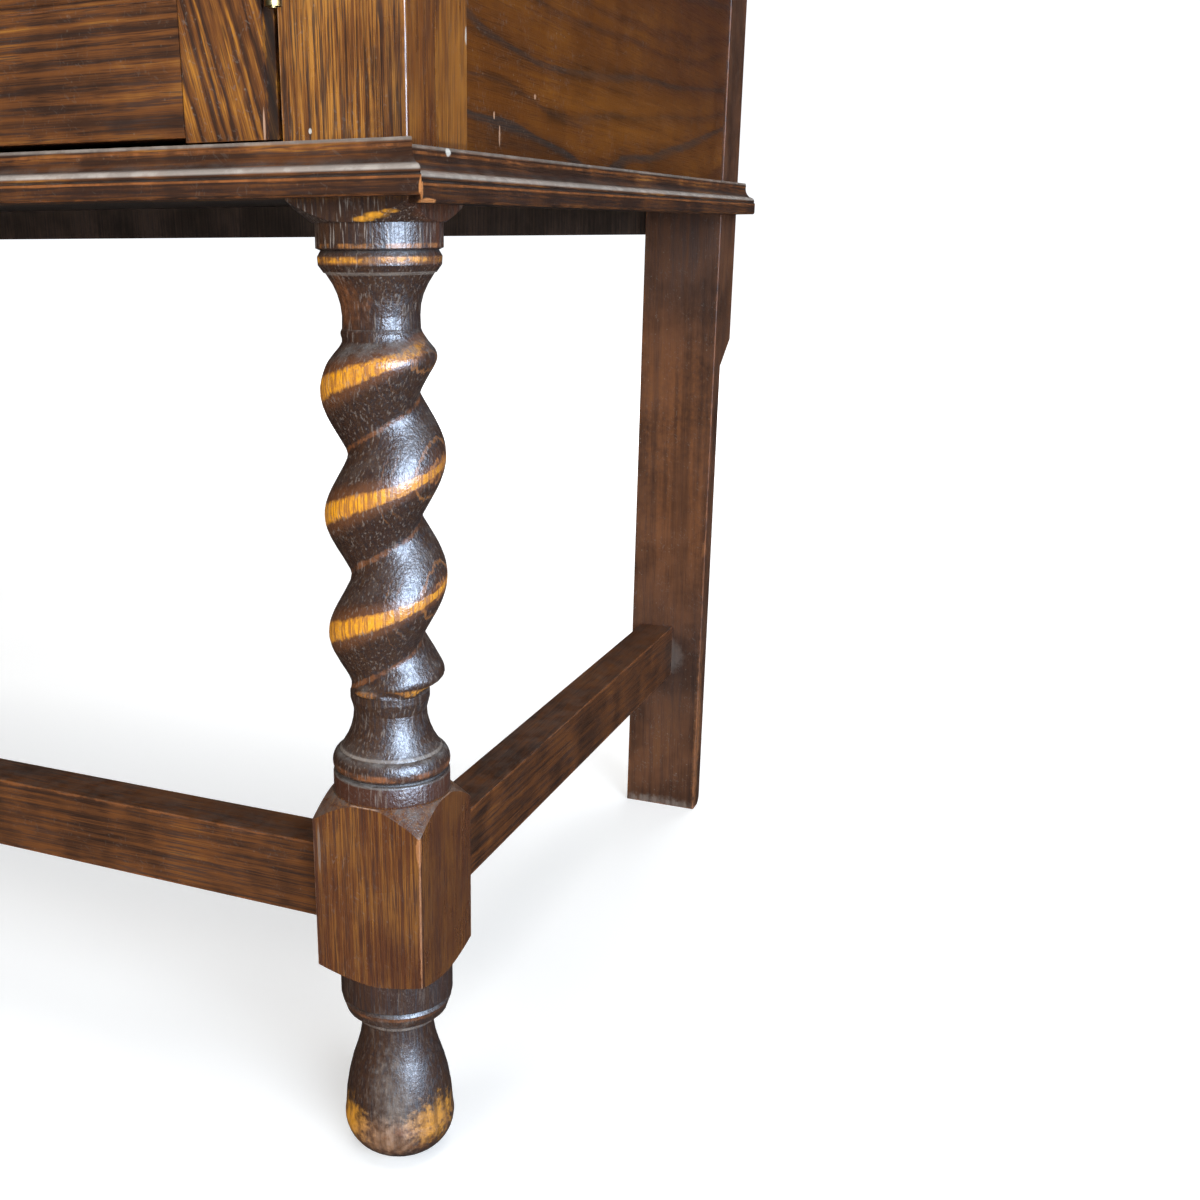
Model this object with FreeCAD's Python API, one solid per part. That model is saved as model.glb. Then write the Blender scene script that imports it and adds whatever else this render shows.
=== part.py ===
import FreeCAD
import Part
import math
import os

# Buffet cabinet in stained oak: two drawers over two panelled doors on barley-twist front legs.
# Millimetres. +Z is up, the front faces -Y, and the origin is on the floor under the middle of the cabinet.

# Overall sizes
CASE_WIDTH = 1038.0
CASE_DEPTH = 478.0
HEIGHT = 940.0
TOP_THICKNESS = 22.0
TOP_FRONT_OVERHANG = 20.0
TOP_SIDE_OVERHANG = 16.0
TOP_NOSE = 7.0
TOP_STEP = 1.5

# Posts, legs and stretchers
POST = 50.0
POST_ARRIS = 0.8
REAR_LEG_WIDTH = 49.5
REAR_LEG_DEPTH = 37.5
REAR_LEG_INSET = 2.0
REAR_FOOT_DEPTH = 15.0
REAR_FOOT_ROUNDING = 6.0
REAR_NOTCH_LOW = 311.0
REAR_NOTCH_HIGH = 327.0
STRETCHER_HEIGHT = 35.0
STRETCHER_THICKNESS = 22.5
FRONT_STRETCHER_Z = 111.5
FRONT_STRETCHER_SETBACK = 13.6
SIDE_STRETCHER_Z = 99.0
SIDE_STRETCHER_SETBACK = 22.5

# Turned and twisted part of the front leg
BLOCK_LOW = 92.5
BLOCK_HIGH = 174.0
BLOCK_LOW_SHOULDER = 4.5
BLOCK_HIGH_SHOULDER = 10.0
TWIST_LOW = 217.5
TWIST_HIGH = 362.0
TWIST_PITCH = 48.0
TWIST_RADIUS = 24.2
TWIST_CORE = 14.2
TWIST_CREST_HEIGHT = 290.0
TWIST_CREST_ANGLE = -152.0
TWIST_FULLNESS = 0.71
TWIST_LOW_RADIUS = 16.2
TWIST_HIGH_RADIUS = 14.95
TWIST_LOW_RUNOUT = 8.0
TWIST_HIGH_RUNOUT = 12.5
TWIST_SECTIONS_PER_TURN = 12
TWIST_POINTS_AROUND = 24
POMMEL_LOW = 400.0
POMMEL_RISE = 8.5

# Base moulding and the rails of the case
MOULDING_TOP = 427.5
MOULDING_HEIGHT = 19.0
MOULDING_PROJECTION = 10.0
SIDE_MOULDING_DROP = 2.5
RAIL_HEIGHT = 22.0
RAIL_DEPTH = 22.0
BOTTOM_RAIL_DEPTH = 20.0
DRAWER_RAIL_TOP = 786.0
DRAWER_RAIL_DEPTH = 60.0
MUNTIN_WIDTH = 46.0
MUNTIN_DEPTH = 21.3
TENON = 20.0
TENON_THICKNESS = 10.0
TENON_SHOULDER = 5.0

# Panels and inner boards
SIDE_PANEL_THICKNESS = 12.0
SIDE_PANEL_RECESS = 3.5
PANEL_TONGUE = 8.0
BOTTOM_THICKNESS = 12.0
BACK_THICKNESS = 6.0
BACK_RECESS = 4.0
BACK_LOW = 400.0
BACK_RAIL_DEPTH = 18.0
BACK_BOTTOM_RAIL_LOW = 394.0
SHELF_UNDERSIDE = 588.0
SHELF_THICKNESS = 14.0
BEARER = 16.0
DOOR_STOP_WIDTH = 62.0
DOOR_STOP_DEPTH = 10.0
RUNNER_RISE = 1.2
RUNNER_HEIGHT = 19.0
RUNNER_LAP = 24.0
GUIDE_HEIGHT = 18.0
KICKER_HEIGHT = 20.0
KICKER_WIDTH = 28.0

# Doors
FRONT_INSET = 1.0
HINGE_GAP = 2.5
DOOR_GAP = 2.0
DOOR_THICKNESS = 20.0
STILE_WIDTH = 40.0
DOOR_BOTTOM_RAIL = 47.0
DOOR_TOP_RAIL = 42.0
RAIL_LIFT = 1.7
DOOR_PANEL_THICKNESS = 8.0
DOOR_PANEL_RECESS = 9.0
DOOR_PANEL_TONGUE = 7.0
PANEL_MOULDING_WIDTH = 14.0
PANEL_MOULDING_HEIGHT = 9.5
HINGE_STRIP_WIDTH = 4.5
HINGE_STRIP_DEPTH = 1.2

# Hinges
HINGE_LENGTH = 50.0
HINGE_FROM_DOOR_END = 43.0
LEAF_THICKNESS = 1.5
LEAF_WIDTH = 18.0
KNUCKLE_RADIUS = 2.75
PIN_RADIUS = 1.5
RUNNING_CLEARANCE = 0.05
PLAY = 0.3

# Drawers
DRAWER_GAP = 1.5
DRAWER_FRONT_THICKNESS = 18.0
DRAWER_SIDE_THICKNESS = 10.0
DRAWER_SIDE_HEIGHT = 92.0
DRAWER_BACK_DROP = 8.0
DRAWER_BOTTOM_THICKNESS = 6.0
DRAWER_BOTTOM_RISE = 6.0
DRAWER_GROOVE = 5.0
DRAWER_REAR_SPACE = 50.0
DOVETAIL_LENGTH = 12.0
DOVETAIL_COUNT = 3
DOVETAIL_FLARE = 2.5
FIELD_MARGIN = 7.0
FIELD_BEVEL_WIDTH = 16.0
FIELD_BEVEL_DEPTH = 3.5

# Drop handles
PLATE_RADIUS = 16.0
DROP_AXIS_OUT = 8.0
DROP_PIN_RADIUS = 1.25
DROP_EYE_RADIUS = 2.7
DROP_EYE_HALF = 1.9
DROP_RADIUS = 6.2
DROP_LENGTH = 31.0
EAR_THICKNESS = 1.6

# Door catches
STUD_WIDTH = 8.0
STUD_HEIGHT = 6.0
STUD_LENGTH = 12.0
CLIP_STRIP = 1.0
CLIP_CLEARANCE = 1.5

# Planes worked out from the driving dimensions
SIDE = CASE_WIDTH / 2
FRONT = TOP_FRONT_OVERHANG / 2 - CASE_DEPTH / 2
BACK = FRONT + CASE_DEPTH
UNDER_TOP = HEIGHT - TOP_THICKNESS
MOULDING_BOTTOM = MOULDING_TOP - MOULDING_HEIGHT
POST_INNER = SIDE - POST
POST_REAR = FRONT + POST
LEG_X = SIDE - POST / 2
LEG_Y = FRONT + POST / 2
REAR_OUTER = SIDE - REAR_LEG_INSET
REAR_INNER = REAR_OUTER - REAR_LEG_WIDTH
REAR_MIDDLE = (REAR_OUTER + REAR_INNER) / 2
REAR_FRONT = BACK - REAR_LEG_DEPTH
PANEL_OUTER = SIDE - SIDE_PANEL_RECESS
PANEL_INNER = PANEL_OUTER - SIDE_PANEL_THICKNESS
BACK_FACE = BACK - BACK_RECESS - BACK_THICKNESS
DRAWER_RAIL_BOTTOM = DRAWER_RAIL_TOP - RAIL_HEIGHT
TOP_RAIL_BOTTOM = UNDER_TOP - RAIL_HEIGHT
RUNNER_TOP = DRAWER_RAIL_TOP + RUNNER_RISE
FACE = FRONT + FRONT_INSET
DOOR_INNER_X = MUNTIN_WIDTH / 2 + DOOR_GAP
DOOR_OUTER_X = POST_INNER - HINGE_GAP
DOOR_LOW = MOULDING_TOP + FRONT_INSET
DOOR_HIGH = DRAWER_RAIL_BOTTOM - DOOR_GAP
DOOR_BACK = FACE + DOOR_THICKNESS
HINGE_X = POST_INNER - HINGE_GAP / 2
HINGE_Y = FRONT - FRONT_INSET / 2
HINGE_HEIGHTS = (DOOR_LOW + HINGE_FROM_DOOR_END, DOOR_HIGH - HINGE_FROM_DOOR_END - HINGE_LENGTH)
DRAWER_INNER_X = MUNTIN_WIDTH / 2 + DRAWER_GAP
DRAWER_OUTER_X = POST_INNER - DRAWER_GAP
DRAWER_LOW = DRAWER_RAIL_TOP + DRAWER_GAP
DRAWER_HIGH = TOP_RAIL_BOTTOM - DRAWER_GAP
DRAWER_BACK = BACK - DRAWER_REAR_SPACE
DRAWER_PULL_X = (
    DRAWER_INNER_X + (DRAWER_OUTER_X - DRAWER_INNER_X) / 4,
    DRAWER_OUTER_X - (DRAWER_OUTER_X - DRAWER_INNER_X) / 4,
)
DRAWER_PULL_Z = (DRAWER_LOW + DRAWER_HIGH) / 2 + DROP_LENGTH / 3
DOOR_PULL_X = DOOR_INNER_X + STILE_WIDTH / 2
DOOR_PULL_Z = (DOOR_LOW + DOOR_HIGH) / 2 + DROP_LENGTH / 3
CATCH_X = DOOR_PULL_X
CATCH_Z = DOOR_HIGH - 2 * STUD_HEIGHT

V = FreeCAD.Vector
Z_AXIS = V(0, 0, 1)


def board(x0, x1, y0, y1, z0, z1):
    """A rectangular board between two corners."""
    return Part.makeBox(x1 - x0, y1 - y0, z1 - z0, V(x0, y0, z0))


def eased_board(x0, x1, y0, y1, z0, z1, direction):
    """A board whose long arrises, those along direction, are softened by wear."""
    blank = board(x0, x1, y0, y1, z0, z1)
    edges = []
    for edge in blank.Edges:
        along = edge.lastVertex().Point - edge.firstVertex().Point
        if abs(along.normalize().dot(direction)) > 0.9:
            edges.append(edge)
    return blank.makeFillet(POST_ARRIS, edges)


def mirrored(shape):
    """The same piece on the left of the cabinet."""
    return shape.mirror(V(0, 0, 0), V(1, 0, 0))


def save(node, *solids):
    """Write a node. Several pieces in one node stay separate solids."""
    for solid in solids:
        if not solid.isValid() or solid.Volume <= 0:
            raise ValueError(f"{node} has a broken solid")
    shape = solids[0] if len(solids) == 1 else Part.makeCompound(list(solids))
    shape.exportStep(f"parts/{node}.step")


def save_pair(name, *solids):
    """Write a right-hand node and its mirror image on the left."""
    save(f"right_{name}", *solids)
    save(f"left_{name}", *[mirrored(solid) for solid in solids])


def turned(start, *moves):
    """A solid of revolution about Z. A move is a point (r, z), or a pair of points that an arc runs through."""
    edges = []
    here = V(start[0], 0, start[1])
    axis_low = V(0, 0, start[1])
    edges.append(Part.makeLine(axis_low, here))
    for move in moves:
        if isinstance(move[0], tuple):
            middle, there = (V(r, 0, z) for r, z in move)
            edges.append(Part.Arc(here, middle, there).toBSpline().toShape())
        else:
            there = V(move[0], 0, move[1])
            edges.append(Part.makeLine(here, there))
        here = there
    axis_high = V(0, 0, here.z)
    edges.append(Part.makeLine(here, axis_high))
    edges.append(Part.makeLine(axis_high, axis_low))
    return Part.Face(Part.Wire(edges)).revolve(V(0, 0, 0), Z_AXIS, 360)


def twist_radius(around):
    """The twist's distance from the axis by the angle from its crest: full on the crest, tight in the groove."""
    return TWIST_CORE + (TWIST_RADIUS - TWIST_CORE) * ((1 + math.cos(around)) / 2) ** TWIST_FULLNESS


def twist_section(height):
    """One level cut through the twist, which turns about the axis with height and is round at both ends."""
    turn = math.radians(360 * (height - TWIST_CREST_HEIGHT) / TWIST_PITCH + TWIST_CREST_ANGLE)
    low_share = min(1.0, (height - TWIST_LOW) / TWIST_LOW_RUNOUT)
    high_share = min(1.0, (TWIST_HIGH - height) / TWIST_HIGH_RUNOUT)
    share = math.sin(min(low_share, high_share) * math.pi / 2) ** 2
    plain = TWIST_LOW_RADIUS if low_share < high_share else TWIST_HIGH_RADIUS
    points = []
    for step in range(TWIST_POINTS_AROUND):
        angle = 2 * math.pi * step / TWIST_POINTS_AROUND
        radius = plain + share * (twist_radius(angle - turn) - plain)
        points.append(V(radius * math.cos(angle), radius * math.sin(angle), height))
    curve = Part.BSplineCurve()
    curve.interpolate(Points=points, PeriodicFlag=True, Parameters=list(range(TWIST_POINTS_AROUND + 1)))
    return Part.Wire(curve.toShape())


def barley_twist():
    """The rope: one full strand that climbs about the axis, running out into a ring below and a neck above."""
    count = round((TWIST_HIGH - TWIST_LOW) / TWIST_PITCH * TWIST_SECTIONS_PER_TURN)
    heights = [TWIST_LOW + (TWIST_HIGH - TWIST_LOW) * step / count for step in range(count + 1)]
    return Part.makeLoft([twist_section(height) for height in heights], True)


def square_block():
    """The stretcher block, with the sloping shoulders that the lathe cuts on its corners."""
    half = POST / 2
    corner = half * math.sqrt(2) + 1
    reach = (corner - half) / (half * math.sqrt(2) - half)
    bar = eased_board(-half, half, -half, half, BLOCK_LOW, BLOCK_HIGH, Z_AXIS)
    lathe = turned(
        (half, BLOCK_LOW),
        (corner, BLOCK_LOW + BLOCK_LOW_SHOULDER * reach),
        (corner, BLOCK_HIGH - BLOCK_HIGH_SHOULDER * reach),
        (half, BLOCK_HIGH),
    )
    return bar.common(lathe)


def corner_post():
    """The square of the leg above the turning, which is also the corner post of the case."""
    half = POST / 2
    corner = half * math.sqrt(2) + 1
    bar = eased_board(-half, half, -half, half, POMMEL_LOW, UNDER_TOP, Z_AXIS)
    lathe = turned(
        (half, POMMEL_LOW),
        (corner, POMMEL_LOW + POMMEL_RISE),
        (corner, UNDER_TOP),
    )
    return bar.common(lathe)


def lower_turning():
    """Pear foot, neck, bead and collar below the block."""
    return turned(
        (12.0, 0.0),
        ((22.0, 7.0), (24.3, 20.0)),
        ((22.6, 35.0), (18.4, 50.0)),
        ((16.5, 57.5), (15.8, 66.0)),
        (18.4, 67.0),
        (18.4, 68.4),
        (22.3, 71.2),
        (24.1, 76.6),
        (23.2, 78.0),
        (24.6, 79.0),
        (24.6, BLOCK_LOW),
    )


def middle_turning():
    """Collar, bead and ogee vase between the block and the twist, with the ring where the twist ends."""
    return turned(
        (24.2, BLOCK_HIGH),
        (24.2, 177.0),
        (22.7, 177.8),
        (24.3, 179.6),
        (24.3, 182.0),
        (22.9, 183.8),
        (23.6, 184.6),
        ((22.9, 189.4), (20.2, 194.4)),
        ((16.6, 201.4), (15.1, 209.5)),
        (16.4, 214.6),
        (16.4, TWIST_LOW),
    )


def upper_turning():
    """Neck, cavetto, bead and collar between the twist and the square of the post."""
    return turned(
        (TWIST_HIGH_RADIUS + 0.1, TWIST_HIGH),
        (14.9, 366.5),
        ((16.9, 375.6), (20.6, 382.0)),
        (21.3, 382.2),
        (23.3, 385.0),
        (23.5, 388.0),
        (22.2, 390.2),
        (24.0, 391.0),
        (24.0, POMMEL_LOW),
    )


def front_leg(housings):
    """The right front leg, one piece of oak from the floor to the top, less the housings cut in it."""
    leg = lower_turning()
    for piece in (square_block(), middle_turning(), barley_twist(), upper_turning(), corner_post()):
        leg = leg.fuse(piece)
    leg = leg.removeSplitter()
    leg.translate(V(LEG_X, LEG_Y, 0))
    for housing in housings:
        leg = leg.cut(housing)
    return leg


def rear_leg(housings):
    """The right rear leg: a plank, cut back at the bottom so that the case stands against a skirted wall."""
    foot_back = REAR_FRONT + REAR_FOOT_DEPTH
    outline = [
        V(REAR_INNER, REAR_FRONT, 0),
        V(REAR_INNER, foot_back, 0),
        V(REAR_INNER, foot_back, REAR_NOTCH_LOW),
        V(REAR_INNER, BACK, REAR_NOTCH_HIGH),
        V(REAR_INNER, BACK, UNDER_TOP),
        V(REAR_INNER, REAR_FRONT, UNDER_TOP),
    ]
    leg = Part.Face(Part.makePolygon(outline + outline[:1])).extrude(V(REAR_LEG_WIDTH, 0, 0))
    arrises = []
    for edge in leg.Edges:
        middle = edge.CenterOfMass
        upright = abs((edge.lastVertex().Point - edge.firstVertex().Point).normalize().z) > 0.99
        if upright and abs(middle.y - REAR_FRONT) < 1:
            arrises.append(edge)
    leg = leg.makeFillet(POST_ARRIS, arrises)
    heel = [edge for edge in leg.Edges if edge.CenterOfMass.isEqual(V(REAR_MIDDLE, foot_back, 0), 0.1)]
    leg = leg.makeFillet(REAR_FOOT_ROUNDING, heel)
    for housing in housings:
        leg = leg.cut(housing)
    return leg


def tenon_x(x0, x1, y0, y1, z0, z1):
    """A tenon that runs along X, on the end of a rail of the given section."""
    middle = (y0 + y1) / 2
    half = TENON_THICKNESS / 2
    return board(x0, x1, middle - half, middle + half, z0 + TENON_SHOULDER, z1 - TENON_SHOULDER)


def tenon_y(y0, y1, x0, x1, z0, z1):
    """A tenon that runs along Y, on the end of a rail of the given section."""
    middle = (x0 + x1) / 2
    half = TENON_THICKNESS / 2
    return board(middle - half, middle + half, y0, y1, z0 + TENON_SHOULDER, z1 - TENON_SHOULDER)


def cross_rail(inner, y0, y1, z0, z1, tenon=TENON):
    """A rail between two uprights. Returns the rail and its right-hand tenon, which the upright is cut for."""
    rail = eased_board(-inner, inner, y0, y1, z0, z1, V(1, 0, 0))
    right = tenon_x(inner, inner + tenon, y0, y1, z0, z1)
    return rail.fuse([right, mirrored(right)]), right


def side_stretcher():
    """The right stretcher and the tenons on its two ends."""
    outer = SIDE - SIDE_STRETCHER_SETBACK
    inner = outer - STRETCHER_THICKNESS
    high = SIDE_STRETCHER_Z + STRETCHER_HEIGHT
    bar = eased_board(inner, outer, POST_REAR, REAR_FRONT, SIDE_STRETCHER_Z, high, V(0, 1, 0))
    front = tenon_y(POST_REAR - 0.9 * TENON, POST_REAR, inner, outer, SIDE_STRETCHER_Z, high)
    rear = tenon_y(REAR_FRONT, REAR_FRONT + 0.7 * REAR_FOOT_DEPTH, inner, outer, SIDE_STRETCHER_Z, high)
    return bar.fuse([front, rear]), front, rear


def mitred(profile, length, reach, depth, start, end):
    """A length of moulding along X that stands out along Y, with depth along Z.

    start and end are 1 for an outside mitre, -1 for an inside mitre and 0 for a square end.
    """
    plan = [V(0, 0, 0), V(length, 0, 0), V(length + end * reach, reach, 0), V(-start * reach, reach, 0)]
    prism = Part.Face(Part.makePolygon(plan + plan[:1])).extrude(V(0, 0, depth))
    stick = Part.Face(profile).extrude(V(length + 2 * reach, 0, 0))
    stick.translate(V(-reach, 0, 0))
    return stick.common(prism)


def placed(shape, origin, along, out):
    """A moulding moved so that its length runs along one direction and it stands out in another."""
    turn = FreeCAD.Rotation(along, out, along.cross(out), "XYZ")
    copy = shape.copy()
    copy.Placement = FreeCAD.Placement(origin, turn)
    return copy


def base_profile():
    """Section of the base moulding: fillet, cove, ledge, ovolo, quirk and a flat fascia, drop along Z."""
    out = MOULDING_PROJECTION
    low = MOULDING_HEIGHT
    return Part.Wire(
        [
            Part.makeLine(V(0, 0, 0), V(0, 3.2, 0)),
            Part.makeLine(V(0, 3.2, 0), V(0, 3.6, 1.7)),
            Part.Arc(V(0, 3.6, 1.7), V(0, 4.0, 5.6), V(0, 6.4, 8.4)).toShape(),
            Part.makeLine(V(0, 6.4, 8.4), V(0, 7.6, 8.8)),
            Part.Arc(V(0, 7.6, 8.8), V(0, 9.2, 10.2), V(0, 9.3, 12.0)).toShape(),
            Part.makeLine(V(0, 9.3, 12.0), V(0, out, 12.5)),
            Part.makeLine(V(0, out, 12.5), V(0, out, low - 0.8)),
            Part.makeLine(V(0, out, low - 0.8), V(0, out - 0.8, low)),
            Part.makeLine(V(0, out - 0.8, low), V(0, 0, low)),
            Part.makeLine(V(0, 0, low), V(0, 0, 0)),
        ]
    )


def base_mouldings():
    """The front length and the right-hand length, which sits a little lower on the case."""
    stick = base_profile()
    reach, depth = MOULDING_PROJECTION, MOULDING_HEIGHT
    front = mitred(stick, CASE_WIDTH, reach, depth, 1, 1)
    front = placed(front, V(-SIDE, FRONT, MOULDING_TOP), V(1, 0, 0), V(0, -1, 0))
    side = mitred(stick, CASE_DEPTH, reach, depth, 1, 0)
    side_top = MOULDING_TOP - SIDE_MOULDING_DROP
    side = placed(side, V(SIDE, FRONT, side_top), V(0, 1, 0), V(1, 0, 0))
    low = side_top - depth
    side = side.fuse(
        [
            board(PANEL_OUTER, SIDE, POST_REAR, REAR_FRONT, low, side_top),
            board(REAR_OUTER, SIDE, REAR_FRONT, BACK, low, side_top),
        ]
    )
    return front, side.removeSplitter()


def panel_moulding_profile():
    """Section of the moulding round a door panel: a quirked ovolo."""
    width, height = PANEL_MOULDING_WIDTH, PANEL_MOULDING_HEIGHT
    return Part.Wire(
        [
            Part.makeLine(V(0, 0, 0), V(0, 0, height - 1.2)),
            Part.makeLine(V(0, 0, height - 1.2), V(0, 1.5, height - 1.2)),
            Part.Arc(V(0, 1.5, height - 1.2), V(0, 3.4, height), V(0, 5.6, height - 0.9)).toShape(),
            Part.Arc(V(0, 5.6, height - 0.9), V(0, 10.2, height - 3.6), V(0, width - 1.5, 2.2)).toShape(),
            Part.makeLine(V(0, width - 1.5, 2.2), V(0, width, 2.2)),
            Part.makeLine(V(0, width, 2.2), V(0, width, 0)),
            Part.makeLine(V(0, width, 0), V(0, 0, 0)),
        ]
    )


def panel_mouldings(x0, x1, z0, z1, face):
    """Four mitred lengths round the inside of a door frame."""
    stick = panel_moulding_profile()
    corners = [V(x0, face, z0), V(x1, face, z0), V(x1, face, z1), V(x0, face, z1)]
    pieces = []
    for index, corner in enumerate(corners):
        run = corners[(index + 1) % 4] - corner
        along = V(run).normalize()
        inward = V(0, -1, 0).cross(along)
        length = mitred(stick, run.Length, PANEL_MOULDING_WIDTH, PANEL_MOULDING_HEIGHT, -1, -1)
        pieces.append(placed(length, corner, along, inward))
    return pieces


def top_edge_profile():
    """Section of the edge of the top: a fillet and a quarter round over a flat, and a cove beneath."""
    out, low, cove = TOP_NOSE, TOP_THICKNESS, TOP_NOSE - 1.0
    round_low = TOP_STEP + out
    bend = math.sqrt(0.5)
    return Part.Wire(
        [
            Part.makeLine(V(0, 0, 0), V(0, 0, TOP_STEP)),
            Part.Arc(
                V(0, 0, TOP_STEP), V(0, out * bend, round_low - out * bend), V(0, out, round_low)
            ).toShape(),
            Part.makeLine(V(0, out, round_low), V(0, out, low - cove)),
            Part.Arc(
                V(0, out, low - cove), V(0, out - cove * bend, low - cove * bend), V(0, out - cove, low)
            ).toShape(),
            Part.makeLine(V(0, out - cove, low), V(0, 0, low)),
            Part.makeLine(V(0, 0, low), V(0, 0, 0)),
        ]
    )


def top_board():
    """The top, with its edge worked on the front and both sides and left square at the back."""
    half = SIDE + TOP_SIDE_OVERHANG - TOP_NOSE
    fore = FRONT - TOP_FRONT_OVERHANG + TOP_NOSE
    stick = top_edge_profile()
    front = mitred(stick, 2 * half, TOP_NOSE, TOP_THICKNESS, 1, 1)
    front = placed(front, V(-half, fore, HEIGHT), V(1, 0, 0), V(0, -1, 0))
    side = mitred(stick, BACK - fore, TOP_NOSE, TOP_THICKNESS, 1, 0)
    side = placed(side, V(half, fore, HEIGHT), V(0, 1, 0), V(1, 0, 0))
    middle = board(-half, half, fore, BACK, UNDER_TOP, HEIGHT)
    return middle.fuse([front, side, mirrored(side)]).removeSplitter()


def hinge(low):
    """A butt hinge on the right post: post leaf, door leaf and pin, with the cuts that let them in."""
    third = HINGE_LENGTH / 3
    high = low + HINGE_LENGTH
    rear = FRONT + LEAF_WIDTH
    clear = HINGE_Y + KNUCKLE_RADIUS + PLAY
    spans = [(low, low + third), (low + third + PLAY, high - third - PLAY), (high - third, high)]

    def leaf(x0, x1, knuckles, bore):
        plate = board(x0, x1, clear, rear, low, high)
        for z0, z1 in knuckles:
            barrel = Part.makeCylinder(KNUCKLE_RADIUS, z1 - z0, V(HINGE_X, HINGE_Y, z0))
            plate = plate.fuse([barrel, board(x0, x1, HINGE_Y, clear, z0, z1)])
        return plate.cut(Part.makeCylinder(bore, HINGE_LENGTH, V(HINGE_X, HINGE_Y, low))).removeSplitter()

    post_leaf = leaf(POST_INNER, POST_INNER + LEAF_THICKNESS, (spans[0], spans[2]), PIN_RADIUS)
    door_leaf = leaf(DOOR_OUTER_X - LEAF_THICKNESS, DOOR_OUTER_X, (spans[1],), PIN_RADIUS + RUNNING_CLEARANCE)
    pin = Part.makeCylinder(PIN_RADIUS, HINGE_LENGTH + 1, V(HINGE_X, HINGE_Y, low - 0.5))
    ends = (low - PLAY, high + PLAY)
    reach = KNUCKLE_RADIUS + PLAY
    post_cut = [
        board(HINGE_X, POST_INNER + LEAF_THICKNESS, FRONT - 1, rear, low, high),
        board(HINGE_X, HINGE_X + reach, FRONT - 1, clear, *ends),
    ]
    door_cut = [
        board(DOOR_OUTER_X - LEAF_THICKNESS, HINGE_X, FRONT - 1, rear, low, high),
        board(HINGE_X - reach, HINGE_X, FRONT - 1, clear, *ends),
    ]
    return post_leaf, door_leaf, pin, post_cut, door_cut


def door(hinges):
    """Stiles, rails, panel and mouldings of the right door."""
    inner, outer = DOOR_INNER_X, DOOR_OUTER_X
    opening_x0, opening_x1 = inner + STILE_WIDTH, outer - STILE_WIDTH
    bottom_low = DOOR_LOW + RAIL_LIFT
    opening_z0, opening_z1 = bottom_low + DOOR_BOTTOM_RAIL, DOOR_HIGH - DOOR_TOP_RAIL
    tongue = DOOR_PANEL_TONGUE
    panel_face = FACE + DOOR_PANEL_RECESS
    panel = board(
        opening_x0 - tongue,
        opening_x1 + tongue,
        panel_face,
        panel_face + DOOR_PANEL_THICKNESS,
        opening_z0 - tongue,
        opening_z1 + tongue,
    )
    tenons = []
    rails = []
    for low, high, tenon_low, tenon_high in (
        (bottom_low, opening_z0, bottom_low, opening_z0 - tongue),
        (opening_z1, DOOR_HIGH, opening_z1 + tongue, DOOR_HIGH),
    ):
        rail = eased_board(opening_x0, opening_x1, FACE, DOOR_BACK, low, high, V(1, 0, 0))
        left = tenon_x(opening_x0 - TENON, opening_x0, FACE, DOOR_BACK, tenon_low, tenon_high)
        right = tenon_x(opening_x1, opening_x1 + TENON, FACE, DOOR_BACK, tenon_low, tenon_high)
        tenons += [left, right]
        rails.append(rail.fuse([left, right]).cut(panel))
    stiles = []
    for x0, x1 in ((inner, opening_x0), (opening_x1, outer)):
        stile = eased_board(x0, x1, FACE, DOOR_BACK, DOOR_LOW, DOOR_HIGH, Z_AXIS)
        stiles.append(stile.cut(tenons + [panel]))
    strip = board(
        outer - HINGE_STRIP_WIDTH, outer, FACE - 1, FACE + HINGE_STRIP_DEPTH, DOOR_LOW, DOOR_HIGH
    )
    cuts = [strip] + [cut for parts in hinges for cut in parts[4]]
    stiles[1] = stiles[1].cut(cuts)
    mouldings = panel_mouldings(opening_x0, opening_x1, opening_z0, opening_z1, panel_face)
    return stiles, rails, panel, mouldings


def eight_sided(*sections):
    """A facetted solid about Z through eight-sided sections, each a radius over the flats and a height."""
    rings = []
    for radius, height in sections:
        corner = radius / math.cos(math.pi / 8)
        angles = [math.pi / 8 + math.pi / 4 * step for step in range(8)]
        rings.append([V(corner * math.cos(angle), corner * math.sin(angle), height) for angle in angles])
    outlines = [rings[0], rings[-1]]
    for low, high in zip(rings, rings[1:]):
        for step in range(8):
            beyond = (step + 1) % 8
            outlines.append([low[step], low[beyond], high[beyond], high[step]])
    facets = [Part.Face(Part.makePolygon(points + points[:1])) for points in outlines]
    return Part.Solid(Part.Shell(facets))


def pull_plate(x, z):
    """An eight-sided back plate with a forked boss and the pin that a drop hangs on."""
    boss_out = DROP_AXIS_OUT - DROP_EYE_RADIUS - PLAY
    plate = eight_sided((PLATE_RADIUS, 0), (PLATE_RADIUS, 0.8), (13.6, 1.8), (8.0, 2.4), (4.2, boss_out))
    plate.rotate(V(0, 0, 0), V(1, 0, 0), 90)
    inner = DROP_EYE_HALF + PLAY
    outer = inner + EAR_THICKNESS
    ear = Part.makeCylinder(DROP_EYE_RADIUS, EAR_THICKNESS, V(inner, -DROP_AXIS_OUT, 0), V(1, 0, 0))
    web = board(inner, outer, -DROP_AXIS_OUT, -2.0, -DROP_EYE_RADIUS, DROP_EYE_RADIUS)
    half_pin = outer + PLAY
    pin = Part.makeCylinder(DROP_PIN_RADIUS, 2 * half_pin, V(-half_pin, -DROP_AXIS_OUT, 0), V(1, 0, 0))
    plate = plate.fuse([ear, web, mirrored(ear), mirrored(web), pin]).removeSplitter()
    plate.translate(V(x, FACE, z))
    return plate


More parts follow.
